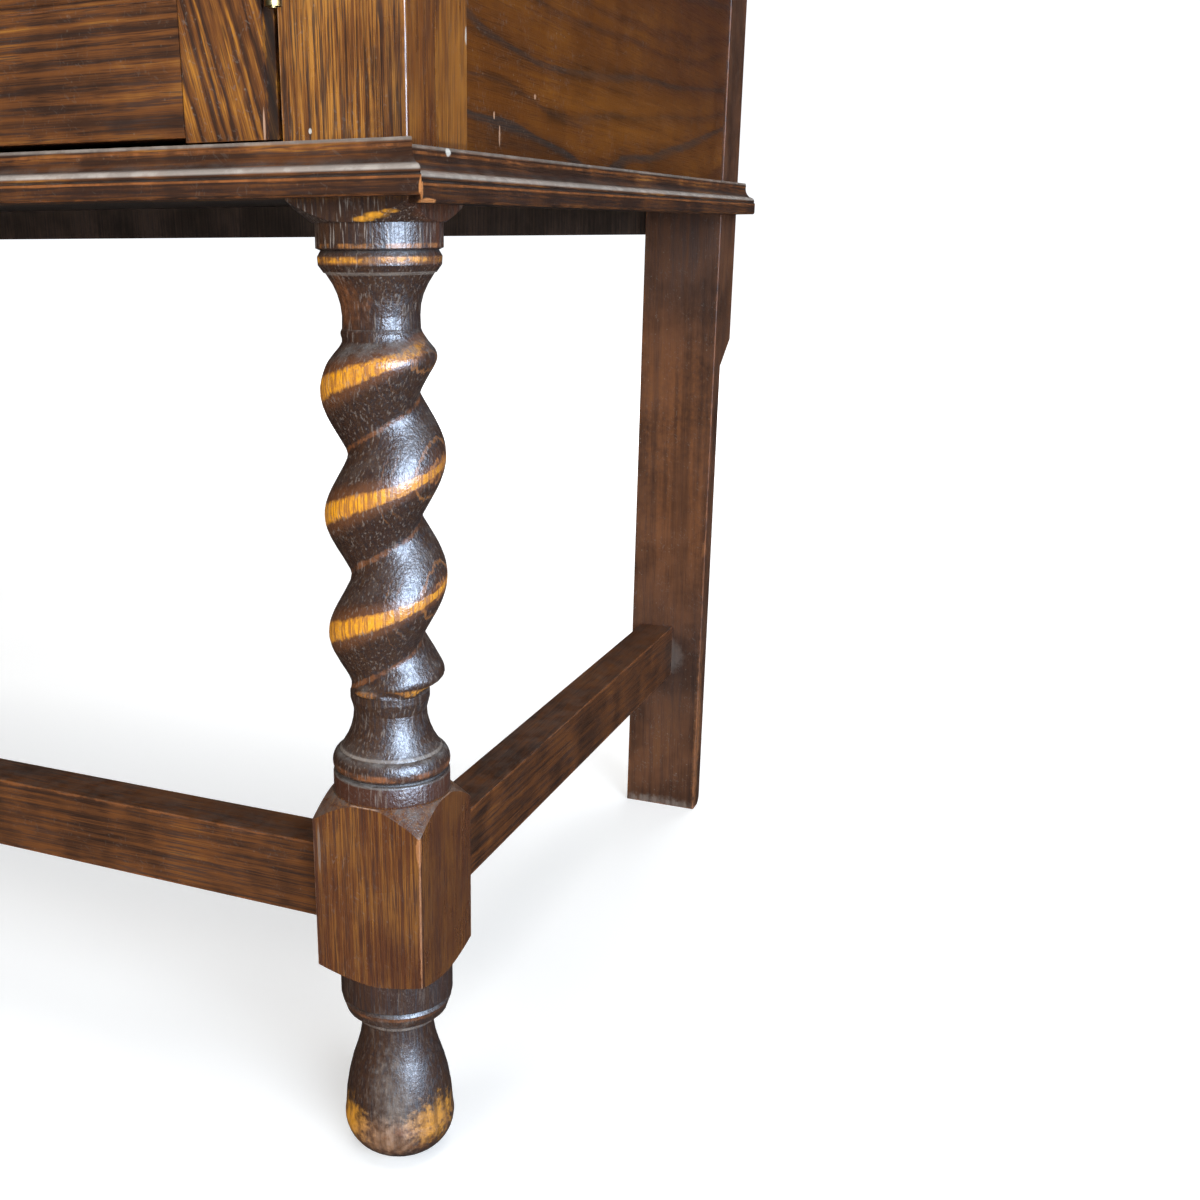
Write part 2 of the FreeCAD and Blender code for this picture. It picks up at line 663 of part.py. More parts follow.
def drop(x, z):
    """A facetted pear drop that swings on the pin of its plate."""
    half = DROP_EYE_HALF
    eye = Part.makeCylinder(DROP_EYE_RADIUS, 2 * half, V(-half, 0, 0), V(1, 0, 0))
    pear = eight_sided(
        (1.2, -DROP_LENGTH),
        (2.6, 2.0 - DROP_LENGTH),
        (DROP_RADIUS, 6.5 - DROP_LENGTH),
        (DROP_RADIUS, 9.0 - DROP_LENGTH),
        (2.1, -8.8),
        (3.0, -7.8),
        (3.0, -6.0),
        (1.7, -5.0),
        (1.7, -2.0),
    )
    bore = Part.makeCylinder(DROP_PIN_RADIUS + RUNNING_CLEARANCE, 2 * half, V(-half, 0, 0), V(1, 0, 0))
    shape = eye.fuse(pear).cut(bore).removeSplitter()
    shape.translate(V(x, FACE - DROP_AXIS_OUT, z))
    return shape


def dovetails(x0, x1, y0, z0, z1):
    """The flared tails on the front end of a drawer side."""
    pitch = (z1 - z0) / DOVETAIL_COUNT
    tails = []
    for index in range(DOVETAIL_COUNT):
        middle = z0 + pitch * (index + 0.5)
        wide = pitch * 0.36
        narrow = wide - DOVETAIL_FLARE
        outline = [
            V(x0, y0, middle - narrow),
            V(x0, y0 - DOVETAIL_LENGTH, middle - wide),
            V(x0, y0 - DOVETAIL_LENGTH, middle + wide),
            V(x0, y0, middle + narrow),
        ]
        tails.append(Part.Face(Part.makePolygon(outline + outline[:1])).extrude(V(x1 - x0, 0, 0)))
    return tails


def fielded_front(x0, x1, z0, z1):
    """A drawer front whose raised field stands inside a sloping margin."""
    blank = eased_board(x0, x1, FACE, FACE + DRAWER_FRONT_THICKNESS, z0, z1, V(1, 0, 0))
    rim, sunk = FIELD_BEVEL_WIDTH, FACE + FIELD_BEVEL_DEPTH
    margin = FIELD_MARGIN
    outer = [V(x0 + margin, sunk, z0 + margin), V(x1 - margin, sunk, z0 + margin)]
    outer += [V(x1 - margin, sunk, z1 - margin), V(x0 + margin, sunk, z1 - margin)]
    top = [V(x0 + rim, FACE, z0 + rim), V(x1 - rim, FACE, z0 + rim)]
    top += [V(x1 - rim, FACE, z1 - rim), V(x0 + rim, FACE, z1 - rim)]
    field = Part.makeLoft([Part.makePolygon(outer + outer[:1]), Part.makePolygon(top + top[:1])], True, True)
    well = board(x0 + margin, x1 - margin, FACE - 1, sunk, z0 + margin, z1 - margin)
    return blank.cut(well.cut(field))


def drawer():
    """Front, sides, back and bottom of the right drawer."""
    x0, x1 = DRAWER_INNER_X, DRAWER_OUTER_X
    low, high = DRAWER_LOW, DRAWER_LOW + DRAWER_SIDE_HEIGHT
    front_back = FACE + DRAWER_FRONT_THICKNESS
    thick = DRAWER_SIDE_THICKNESS
    bottom_low = low + DRAWER_BOTTOM_RISE
    bottom_high = bottom_low + DRAWER_BOTTOM_THICKNESS
    bottom = board(
        x0 + thick - DRAWER_GROOVE,
        x1 - thick + DRAWER_GROOVE,
        front_back - DRAWER_GROOVE,
        DRAWER_BACK,
        bottom_low,
        bottom_high,
    )
    front = fielded_front(x0, x1, DRAWER_LOW, DRAWER_HIGH).cut(bottom)
    sides = []
    for side_x0, side_x1 in ((x0, x0 + thick), (x1 - thick, x1)):
        tails = dovetails(side_x0, side_x1, front_back, bottom_high + 2, high)
        side = board(side_x0, side_x1, front_back, DRAWER_BACK, low, high).fuse(tails)
        sides.append(side.removeSplitter().cut(bottom))
        front = front.cut(tails)
    back = board(
        x0 + thick, x1 - thick, DRAWER_BACK - thick, DRAWER_BACK, bottom_high, high - DRAWER_BACK_DROP
    )
    return front, sides, back, bottom


def catch():
    """The stud on the back of the right door and the sprung clip that holds it, under the drawer rail."""
    x0, x1 = CATCH_X - STUD_WIDTH / 2, CATCH_X + STUD_WIDTH / 2
    low, high = CATCH_Z - STUD_HEIGHT / 2, CATCH_Z + STUD_HEIGHT / 2
    stud = board(x0, x1, DOOR_BACK, DOOR_BACK + STUD_LENGTH, low, high)
    rounded = [edge for edge in stud.Edges if edge.CenterOfMass.y > DOOR_BACK + STUD_LENGTH - 1]
    stud = stud.makeFillet(1.2, rounded)
    jaw_low = low - CLIP_CLEARANCE - CLIP_STRIP
    jaw_high = high + CLIP_CLEARANCE + CLIP_STRIP
    fore = DOOR_BACK + STUD_LENGTH / 3
    web = DOOR_BACK + STUD_LENGTH + CLIP_CLEARANCE
    rail = DRAWER_RAIL_BOTTOM
    clip = board(x0, x1, fore, web, jaw_low, jaw_low + CLIP_STRIP)
    clip = clip.fuse(
        [
            board(x0, x1, fore, web, jaw_high - CLIP_STRIP, jaw_high),
            board(x0, x1, web, web + CLIP_STRIP, jaw_low, rail),
            board(x0, x1, web, web + STUD_LENGTH, rail - CLIP_STRIP, rail),
        ]
    )
    return stud, clip.removeSplitter()


def side_panel():
    """The right side of the case, let into the post and the rear leg."""
    return board(
        PANEL_INNER,
        PANEL_OUTER,
        POST_REAR - PANEL_TONGUE,
        REAR_FRONT + PANEL_TONGUE,
        MOULDING_BOTTOM,
        UNDER_TOP,
    )


def back_panel():
    """The thin board that closes the back, in a rebate of each rear leg."""
    reach = REAR_INNER + PANEL_TONGUE
    return board(-reach, reach, BACK_FACE, BACK_FACE + BACK_THICKNESS, BACK_LOW, UNDER_TOP)


def bottom_board():
    """The floor of the cupboard, notched round the four posts."""
    low = MOULDING_TOP - BOTTOM_THICKNESS
    floor = board(
        -PANEL_INNER,
        PANEL_INNER,
        FRONT + BOTTOM_RAIL_DEPTH,
        BACK_FACE - BACK_RAIL_DEPTH,
        low,
        MOULDING_TOP,
    )
    front_notch = board(POST_INNER, SIDE, FRONT, POST_REAR, low, MOULDING_TOP)
    rear_notch = board(REAR_INNER, SIDE, REAR_FRONT, BACK, low, MOULDING_TOP)
    return floor.cut([front_notch, mirrored(front_notch), rear_notch, mirrored(rear_notch)])


def drawer_supports():
    """Runners under the drawer sides, guides beside them and kickers above them."""
    half = MUNTIN_WIDTH / 2
    low = RUNNER_TOP - RUNNER_HEIGHT
    fore = FRONT + DRAWER_RAIL_DEPTH
    right_runner = board(POST_INNER - RUNNER_LAP, PANEL_INNER, fore, REAR_FRONT, low, RUNNER_TOP)
    middle_runner = board(-half - RUNNER_LAP, half + RUNNER_LAP, fore, BACK_FACE, low, RUNNER_TOP)
    guide_top = RUNNER_TOP + GUIDE_HEIGHT
    guide_face = DRAWER_OUTER_X + 1.0
    right_guide = board(guide_face, PANEL_INNER, fore, REAR_FRONT, RUNNER_TOP, guide_top)
    middle_guide = board(-half, half, fore, BACK_FACE, RUNNER_TOP, guide_top)
    kicker_low = UNDER_TOP - KICKER_HEIGHT
    kicker_fore = FRONT + RAIL_DEPTH
    kicker_back = BACK_FACE - BACK_RAIL_DEPTH
    right_kicker = board(
        POST_INNER - KICKER_WIDTH, REAR_INNER, kicker_fore, kicker_back, kicker_low, UNDER_TOP
    )
    middle_kicker = board(-half - KICKER_WIDTH, half + KICKER_WIDTH, kicker_fore, kicker_back, kicker_low, UNDER_TOP)
    return (
        (right_runner, mirrored(right_runner), middle_runner),
        (right_guide, mirrored(right_guide), middle_guide),
        (right_kicker, mirrored(right_kicker), middle_kicker),
    )


def centre_muntin():
    """The upright between the doors and the short one between the drawers, tenoned into the rails."""
    half = MUNTIN_WIDTH / 2
    back = FRONT + MUNTIN_DEPTH
    lower = eased_board(-half, half, FRONT, back, MOULDING_TOP, DRAWER_RAIL_BOTTOM, Z_AXIS)
    upper = eased_board(-half, half, FRONT, back, DRAWER_RAIL_TOP, TOP_RAIL_BOTTOM, Z_AXIS)
    return lower, upper


def main():
    """Make every piece, cut the housings and write the nodes."""
    os.makedirs("parts", exist_ok=True)

    top_rail, top_tenon = cross_rail(POST_INNER, FRONT, FRONT + RAIL_DEPTH, TOP_RAIL_BOTTOM, UNDER_TOP)
    drawer_rail, drawer_tenon = cross_rail(
        POST_INNER, FRONT, FRONT + DRAWER_RAIL_DEPTH, DRAWER_RAIL_BOTTOM, DRAWER_RAIL_TOP
    )
    bottom_rail, bottom_tenon = cross_rail(
        POST_INNER, FRONT, FRONT + BOTTOM_RAIL_DEPTH, MOULDING_BOTTOM, MOULDING_TOP
    )
    stretcher_front = FRONT + FRONT_STRETCHER_SETBACK
    front_stretcher, front_tenon = cross_rail(
        POST_INNER,
        stretcher_front,
        stretcher_front + STRETCHER_THICKNESS,
        FRONT_STRETCHER_Z,
        FRONT_STRETCHER_Z + STRETCHER_HEIGHT,
    )
    stretcher, stretcher_front_tenon, stretcher_rear_tenon = side_stretcher()
    rail_fore = BACK_FACE - BACK_RAIL_DEPTH
    back_top, back_top_tenon = cross_rail(REAR_INNER, rail_fore, BACK_FACE, UNDER_TOP - 2 * RAIL_HEIGHT, UNDER_TOP)
    back_low, back_low_tenon = cross_rail(REAR_INNER, rail_fore, BACK_FACE, BACK_BOTTOM_RAIL_LOW, MOULDING_TOP)
    panel = side_panel()
    back = back_panel()
    hinges = [hinge(low) for low in HINGE_HEIGHTS]
    post_cuts = [cut for parts in hinges for cut in parts[3]]

    front_housings = [top_tenon, drawer_tenon, bottom_tenon, front_tenon, stretcher_front_tenon, panel]
    legs = {
        "front": front_leg(front_housings + post_cuts),
        "rear": rear_leg([stretcher_rear_tenon, back_top_tenon, back_low_tenon, panel, back]),
    }
    for end, leg in legs.items():
        save(f"{end}_right_leg", leg)
        save(f"{end}_left_leg", mirrored(leg))

    save("front_stretcher", front_stretcher)
    save_pair("stretcher", stretcher)
    save_pair("side_panel", panel)
    save("back_panel", back)
    save("top_board", top_board())
    save("bottom_board", bottom_board())
    save("top_rail", top_rail)
    save("drawer_rail", drawer_rail)
    save("bottom_rail", bottom_rail)
    save("back_rails", back_top, back_low)
    save("centre_muntin", *centre_muntin())

    shelf_fore = POST_REAR + BEARER / 4
    shelf_x = PANEL_INNER - PLAY
    save(
        "shelf",
        board(-shelf_x, shelf_x, shelf_fore, REAR_FRONT - PLAY, SHELF_UNDERSIDE, SHELF_UNDERSIDE + SHELF_THICKNESS),
    )
    bearer = board(
        PANEL_INNER - BEARER, PANEL_INNER, POST_REAR, REAR_FRONT, SHELF_UNDERSIDE - BEARER, SHELF_UNDERSIDE
    )
    save("shelf_bearers", bearer, mirrored(bearer))
    stop_fore = FRONT + MUNTIN_DEPTH
    stop = board(
        -DOOR_STOP_WIDTH / 2,
        DOOR_STOP_WIDTH / 2,
        stop_fore,
        stop_fore + DOOR_STOP_DEPTH,
        MOULDING_TOP,
        DRAWER_RAIL_BOTTOM,
    )
    save("door_stop", stop)

    front_moulding, side_moulding = base_mouldings()
    save("front_base_moulding", front_moulding)
    save_pair("base_moulding", side_moulding)

    runners, guides, kickers = drawer_supports()
    save("drawer_runners", *runners)
    save("drawer_guides", *guides)
    save("drawer_kickers", *kickers)

    post_leaves = [parts[0] for parts in hinges]
    door_leaves = [parts[1] for parts in hinges]
    pins = [parts[2] for parts in hinges]
    save("hinge_post_leaves", *post_leaves, *[mirrored(leaf) for leaf in post_leaves])
    save("hinge_pins", *pins, *[mirrored(pin) for pin in pins])

    stiles, rails, door_panel, mouldings = door(hinges)
    save_pair("door_stiles", *stiles)
    save_pair("door_rails", *rails)
    save_pair("door_panel", door_panel)
    save_pair("door_moulding", *mouldings)
    save_pair("door_hinge_leaves", *door_leaves)
    save_pair("door_pull_plate", pull_plate(DOOR_PULL_X, DOOR_PULL_Z))
    save_pair("door_drop", drop(DOOR_PULL_X, DOOR_PULL_Z))
    stud, clip = catch()
    save_pair("door_catch_stud", stud)
    save("catch_clips", clip, mirrored(clip))

    drawer_front, drawer_sides, drawer_back, drawer_bottom = drawer()
    save_pair("drawer_front", drawer_front)
    save_pair("drawer_sides", *drawer_sides)
    save_pair("drawer_back", drawer_back)
    save_pair("drawer_bottom", drawer_bottom)
    save_pair("drawer_pull_plates", *[pull_plate(x, DRAWER_PULL_Z) for x in DRAWER_PULL_X])
    for place, x in zip(("inner", "outer"), DRAWER_PULL_X):
        save_pair(f"drawer_{place}_drop", drop(x, DRAWER_PULL_Z))


main()
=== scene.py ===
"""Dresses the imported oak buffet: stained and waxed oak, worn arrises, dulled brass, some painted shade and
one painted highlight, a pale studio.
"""

import logging
import math
from dataclasses import dataclass, replace
from enum import Enum

import bpy
import numpy as np
from mathutils import Matrix, Vector


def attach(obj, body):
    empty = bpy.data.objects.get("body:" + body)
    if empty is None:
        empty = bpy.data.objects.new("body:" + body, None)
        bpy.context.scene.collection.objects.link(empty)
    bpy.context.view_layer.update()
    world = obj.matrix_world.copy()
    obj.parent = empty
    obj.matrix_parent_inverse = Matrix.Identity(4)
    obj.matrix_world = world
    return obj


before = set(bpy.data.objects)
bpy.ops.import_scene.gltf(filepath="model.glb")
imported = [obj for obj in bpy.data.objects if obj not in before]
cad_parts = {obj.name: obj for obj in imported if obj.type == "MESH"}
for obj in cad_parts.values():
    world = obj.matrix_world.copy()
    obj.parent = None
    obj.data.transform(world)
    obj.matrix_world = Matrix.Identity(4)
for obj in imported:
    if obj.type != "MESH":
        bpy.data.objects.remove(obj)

LOG = logging.getLogger("buffet")
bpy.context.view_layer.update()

Colour = tuple[float, float, float]
Triple = tuple[float, float, float]
Span = tuple[float, float]
Tree = bpy.types.NodeTree
Socket = bpy.types.NodeSocket
Sockets = bpy.types.bpy_prop_collection
Feed = Socket | float | Triple

MM = 0.001


class Grain(Enum):
    """Direction that a board's fibres run in, as the turn that brings it upright."""

    UPRIGHT = (0.0, 0.0, 0.0)
    ACROSS = (0.0, -90.0, 0.0)
    BACKWARD = (90.0, 0.0, 0.0)


class Graph:
    """Writes nodes into one shader tree."""

    def __init__(self, tree: Tree) -> None:
        """Keep the tree that the nodes go into."""
        self.tree = tree

    def feed(self, socket: Socket, value: Feed) -> None:
        """Link a socket, or set it where the value is plain.

        Args:
            socket: the input.
            value: what goes into it.
        """
        if isinstance(value, Socket):
            self.tree.links.new(value, socket)
        elif socket.type == "RGBA":
            socket.default_value = (*value, 1.0)
        else:
            socket.default_value = value

    def node(self, kind: str, inputs: dict | None = None, **settings: object) -> bpy.types.Node:
        """Add a node.

        Args:
            kind: Blender's name for the kind of node.
            inputs: what goes into its sockets, by their names or places.
            settings: properties of the node.

        Returns:
            The new node.
        """
        made = self.tree.nodes.new(kind)
        for name, value in settings.items():
            setattr(made, name, value)
        for place, value in (inputs or {}).items():
            self.feed(made.inputs[place], value)
        return made

    def math(self, operation: str, *values: Feed, clamp: bool = False) -> Socket:
        """One arithmetic step on numbers, held between 0 and 1 where clamp is set."""
        made = self.node("ShaderNodeMath", dict(enumerate(values)), operation=operation, use_clamp=clamp)
        return made.outputs[0]

    def times(self, one: Feed, other: Feed, clamp: bool = False) -> Socket:
        """The product of two numbers."""
        return self.math("MULTIPLY", one, other, clamp=clamp)

    def minus(self, one: Feed, other: Feed, clamp: bool = False) -> Socket:
        """One number less another."""
        return self.math("SUBTRACT", one, other, clamp=clamp)

    def scaled(self, value: Feed, by: Feed, plus: Feed, clamp: bool = False) -> Socket:
        """A number times a second, plus a third."""
        return self.math("MULTIPLY_ADD", value, by, plus, clamp=clamp)

    def vector(self, operation: str, *values: Feed) -> Socket:
        """One arithmetic step on vectors."""
        made = self.node("ShaderNodeVectorMath", dict(enumerate(values)), operation=operation)
        return made.outputs["Value" if operation == "LENGTH" else "Vector"]

    def grown(self, value: Feed, by: Feed) -> Socket:
        """A vector times a number."""
        made = self.node("ShaderNodeVectorMath", {0: value, "Scale": by}, operation="SCALE")
        return made.outputs["Vector"]

    def turned(self, place: Feed, by: Feed) -> Socket:
        """A place turned about the origin."""
        inputs = {"Vector": place, "Rotation": by}
        return self.node("ShaderNodeVectorRotate", inputs, rotation_type="EULER_XYZ").outputs[0]

    def split(self, value: Feed) -> tuple[Socket, Socket, Socket]:
        """The three parts of a vector."""
        return tuple(self.node("ShaderNodeSeparateXYZ", {0: value}).outputs)

    def join(self, x: Feed, y: Feed, z: Feed) -> Socket:
        """A vector of three numbers."""
        return self.node("ShaderNodeCombineXYZ", {0: x, 1: y, 2: z}).outputs[0]

    def mix(self, share: Feed, base: Feed, over: Feed) -> Socket:
        """One colour laid over another."""
        made = self.node("ShaderNodeMix", {0: share, 6: base, 7: over}, data_type="RGBA")
        return made.outputs[2]

    def noise(
        self, place: Feed, scale: float, detail: float = 2.0, rough: float = 0.5, output: str = "Fac"
    ) -> Socket:
        """Noise of one fineness, as a number or a colour."""
        inputs = {"Vector": place, "Scale": scale, "Detail": detail, "Roughness": rough}
        return self.node("ShaderNodeTexNoise", inputs).outputs[output]

    def stretched(self, place: Feed, scale: Triple, detail: float = 2.0) -> Socket:
        """Noise with its own fineness along each axis."""
        return self.noise(self.vector("MULTIPLY", place, scale), 1.0, detail)

    def step(self, value: Feed, low: Feed, high: Feed) -> Socket:
        """A soft step from 0 at low to 1 at high; it falls where high is the lower."""
        inputs = {"Value": value, "From Min": low, "From Max": high}
        return self.node("ShaderNodeMapRange", inputs, interpolation_type="SMOOTHSTEP").outputs["Result"]

    def ramp(self, value: Feed, stops: tuple[Span, ...]) -> Socket:
        """A curve of straight runs.

        Args:
            value: where it is read, from 0 to 1.
            stops: pairs of place and height.

        Returns:
            The socket with the height.
        """
        made = self.node("ShaderNodeValToRGB", {"Fac": value})
        ramp = made.color_ramp
        while len(ramp.elements) < len(stops):
            ramp.elements.new(1.0)
        for element, (place, height) in zip(ramp.elements, stops):
            element.position = place
            element.color = (height, height, height, 1.0)
        return made.outputs["Color"]

    def bump(self, height: Feed, strength: float, distance: float) -> Socket:
        """Normals of a surface with a slight relief."""
        inputs = {"Height": height, "Strength": strength, "Distance": distance}
        return self.node("ShaderNodeBump", inputs).outputs[0]

    def group(self, tree: Tree, **inputs: Feed) -> Sockets:
        """Place a node group and give its outputs."""
        return self.node("ShaderNodeGroup", inputs, node_tree=tree).outputs


class Effects:
    """Node groups for what several finishes share, each built once."""

    HALF = (0.5, 0.5, 0.5)
    LEVEL = (1, 1, 0)
    DRIFT_SCALE = (13, 13, 4)
    TEAR_SCALE = (1.2, 1.2, 0.14)
    GROWTH_SCALE, GROWTH_SHARE = 0.37, 1.9
    SEASONS = ((0, 0.3), (0.1, 0), (0.24, 0.1), (0.45, 0.65), (0.7, 1), (0.88, 0.85), (1, 0.3))
    STREAK_SCALE = (330, 330, 8)
    PORE_SCALE = (1700, 1700, 55)
    FIBRE_SCALE = (1900, 1900, 24)
    SCRATCH_SCALE = (1000, 1000, 130)
    SCRATCH_TURNS = ((0.5, 0.9, 0.35), (-0.4, -0.3, 1.1))
    ARRIS_SCALE, DUST_SCALE, MOTTLE_SCALE, SCRATCHED_SCALE = 95, 130, 30, 85
    SPECK_SCALE, PIT_SCALE, RAGGED_SCALE = 260, 620, 330

    def __init__(self) -> None:
        """Build every group."""
        self.oak_figure = self._oak_figure()
        self.arris_wear = self._arris_wear()
        self.settled_dust = self._settled_dust()
        self.hand_marks = self._hand_marks()
        self.patch_mark = self._patch_mark()
        self.twist_wear = self._twist_wear()

    def _open(self, name: str, vectors: str, numbers: str, outputs: str) -> tuple[Graph, Sockets, Sockets]:
        """Start a group.

        Args:
            name: the group's name.
            vectors: names of the vectors that come in.
            numbers: names of the numbers that come in.
            outputs: names of the numbers that go out.

        Returns:
            The graph to write in, the sockets that come in and those that go out.
        """
        tree = bpy.data.node_groups.new(name, "ShaderNodeTree")
        for labels, way, kind in (
            (vectors, "INPUT", "NodeSocketVector"),
            (numbers, "INPUT", "NodeSocketFloat"),
            (outputs, "OUTPUT", "NodeSocketFloat"),
        ):
            for label in labels.split():
                tree.interface.new_socket(label, in_out=way, socket_type=kind)
        graph = Graph(tree)
        return graph, graph.node("NodeGroupInput").outputs, graph.node("NodeGroupOutput").inputs

    def _oak_figure(self) -> Tree:
        """Growth rings about a pith, long streaks, pores in the early wood and fine fibres.

        Returns:
            The group.
        """
        numbers = "Seed Spacing Wander Torn Bow"
        outputs = "Figure Early Streak Pores Fibre"
        graph, given, taken = self._open("oak_figure", "Position Pith Turn", numbers, outputs)
        turned = graph.turned(graph.vector("SUBTRACT", given["Position"], given["Pith"]), given["Turn"])
        place = graph.vector("ADD", turned, graph.join(0.0, 0.0, given["Seed"]))
        slow = graph.noise(graph.vector("MULTIPLY", place, self.DRIFT_SCALE), 1.0, output="Color")
        ringed = graph.grown(place, graph.math("DIVIDE", 1.0, given["Spacing"]))
        torn = graph.noise(graph.vector("MULTIPLY", ringed, self.TEAR_SCALE), 1.0, 3.0, 0.6, "Color")
        drift = graph.grown(graph.vector("SUBTRACT", slow, self.HALF), given["Wander"])
        ragged = graph.grown(graph.vector("SUBTRACT", torn, self.HALF), given["Torn"])
        moved = graph.vector("ADD", place, graph.vector("ADD", drift, ragged))
        radius = graph.vector("LENGTH", graph.vector("MULTIPLY", moved, self.LEVEL))
        along = graph.split(turned)[2]
        bowed = graph.scaled(graph.times(along, along), given["Bow"], radius)
        even = graph.math("DIVIDE", bowed, given["Spacing"])
        growth = {"W": graph.times(even, self.GROWTH_SCALE), "Scale": 1.0, "Detail": 1.0}
        uneven = graph.node("ShaderNodeTexNoise", growth, noise_dimensions="1D").outputs["Fac"]
        years = graph.scaled(uneven, self.GROWTH_SHARE, even)
        count = {"W": graph.math("FLOOR", years)}
        year = graph.node("ShaderNodeTexWhiteNoise", count, noise_dimensions="1D").outputs["Value"]
        rings = graph.ramp(graph.math("FRACT", years), self.SEASONS)
        graph.feed(taken["Figure"], graph.times(rings, graph.scaled(year, 0.5, 0.5)))
        bold = graph.step(year, 0.15, 0.9)
        graph.feed(taken["Early"], graph.times(graph.step(rings, 0.16, 0.02), bold))
        broad = graph.stretched(place, self.STREAK_SCALE, 4.0)
        graph.feed(taken["Streak"], graph.step(broad, 0.3, 0.7))
        dashes = graph.stretched(place, self.PORE_SCALE, 1.0)
        scarce = graph.scaled(rings, 0.12, 0.45)
        graph.feed(taken["Pores"], graph.step(dashes, scarce, graph.math("ADD", scarce, 0.12)))
        fine = graph.stretched(place, self.FIBRE_SCALE, 3.0)
        graph.feed(taken["Fibre"], graph.step(fine, 0.28, 0.72))
        return graph.tree

    def _arris_wear(self) -> Tree:
        """Rubbed edges of a squared piece, broken along their length.

        Returns:
            The group.
        """
        graph, given, taken = self._open("arris_wear", "Position Low High", "Width Broken", "Wear")
        above = graph.vector("SUBTRACT", given["Position"], given["Low"])
        below = graph.vector("SUBTRACT", given["High"], given["Position"])
        x, y, z = graph.split(graph.vector("ABSOLUTE", graph.vector("MINIMUM", above, below)))
        nearer, farther = graph.math("MINIMUM", x, y), graph.math("MAXIMUM", x, y)
        second = graph.math("MAXIMUM", nearer, graph.math("MINIMUM", farther, z))
        rubbed = graph.step(graph.noise(given["Position"], self.ARRIS_SCALE, 4.0, 0.65), 0.36, 0.68)
        lost = graph.times(given["Broken"], graph.minus(1.0, rubbed))
        width = graph.times(given["Width"], graph.minus(1.0, lost))
        graph.feed(taken["Wear"], graph.step(second, width, graph.times(width, 0.3)))
        return graph.tree

    def _settled_dust(self) -> Tree:
        """Grey dust on what faces up.

        Returns:
            The group.
        """
        graph, given, taken = self._open("settled_dust", "Position", "", "Dust")
        facing = graph.split(graph.node("ShaderNodeNewGeometry").outputs["Normal"])[2]
        patchy = graph.step(graph.noise(given["Position"], self.DUST_SCALE, 4.0, 0.7), 0.32, 0.72)
        graph.feed(taken["Dust"], graph.times(graph.step(facing, 0.35, 0.85), patchy))
        return graph.tree

    def _hand_marks(self) -> Tree:
        """Uneven stain, thin scratches, pale specks and the small pits of old wax.

        Returns:
            The group.
        """
        graph, given, taken = self._open("hand_marks", "Position", "", "Mottle Scratch Speck Pit")
        place = given["Position"]
        graph.feed(taken["Mottle"], graph.step(graph.noise(place, self.MOTTLE_SCALE, 3.0, 0.6), 0.3, 0.7))
        where = graph.step(graph.noise(place, self.SCRATCHED_SCALE, 1.0), 0.42, 0.6)
        lines = []
        for turn in self.SCRATCH_TURNS:
            drawn = graph.stretched(graph.turned(place, turn), self.SCRATCH_SCALE, 1.0)
            lines.append(graph.step(drawn, 0.64, 0.72))
        graph.feed(taken["Scratch"], graph.times(graph.math("MAXIMUM", *lines), where))
        cells = {"Vector": place, "Scale": self.SPECK_SCALE}
        dots = graph.node("ShaderNodeTexVoronoi", cells, feature="F1").outputs
        lucky = graph.step(graph.split(dots["Color"])[0], 0.8, 0.85)
        graph.feed(taken["Speck"], graph.times(graph.step(dots["Distance"], 0.16, 0.07), lucky))
        graph.feed(taken["Pit"], graph.noise(place, self.PIT_SCALE, 2.0, 0.6))
        return graph.tree

    def _patch_mark(self) -> Tree:
        """One ragged spot: a chip, a smear, a splash, a patch of painted shade or a painted highlight.

        Returns:
            The group.
        """
        graph, given, taken = self._open("patch_mark", "Position Centre Size", "Ragged Soft", "Mark")
        away = graph.vector("SUBTRACT", given["Position"], given["Centre"])
        away = graph.vector("LENGTH", graph.vector("DIVIDE", away, given["Size"]))
        torn = graph.minus(graph.noise(given["Position"], self.RAGGED_SCALE, 3.0, 0.6), 0.5)
        reach = graph.scaled(torn, given["Ragged"], away)
        rim = graph.scaled(given["Soft"], 0.7, 1.05)
        full = graph.scaled(given["Soft"], -0.8, 0.72)
        graph.feed(taken["Mark"], graph.step(reach, rim, full))
        return graph.tree

    def _twist_wear(self) -> Tree:
        """How far a place lies above the crest of a single spiral, on which side of it and how far out.

        Returns:
            The group.
        """
        outputs = "Rise Side Reach"
        graph, given, taken = self._open("twist_wear", "Position Centre", "Hand Pitch Crest", outputs)
        x, y, z = graph.split(graph.vector("SUBTRACT", given["Position"], given["Centre"]))
        graph.feed(taken["Reach"], graph.vector("LENGTH", graph.join(x, y, 0.0)))
        angle = graph.math("ARCTAN2", y, graph.times(x, given["Hand"]))
        beyond = graph.minus(angle, given["Crest"])
        turns = graph.math("DIVIDE", beyond, 2 * math.pi)
        crest = graph.minus(graph.math("DIVIDE", z, given["Pitch"]), turns)
        phase = graph.minus(graph.math("FRACT", graph.math("ADD", crest, 0.5)), 0.5)
        graph.feed(taken["Rise"], graph.times(phase, given["Pitch"]))
        graph.feed(taken["Side"], graph.math("COSINE", beyond))
        return graph.tree


@dataclass(frozen=True)
class Patch:
    """A spot of another colour on a finish, placed in the frame in millimetres."""

    centre: Triple
    size: Triple
    colour: Colour
    strength: float = 0.9
    ragged: float = 0.9
    soft: float = 0.0


@dataclass(frozen=True)
class WornBand:
    """A level line that is rubbed bright or holds dust, in millimetres above the floor."""

    height: float
    half: float
    colour: Colour
    strength: float
    broken: float = 0.7


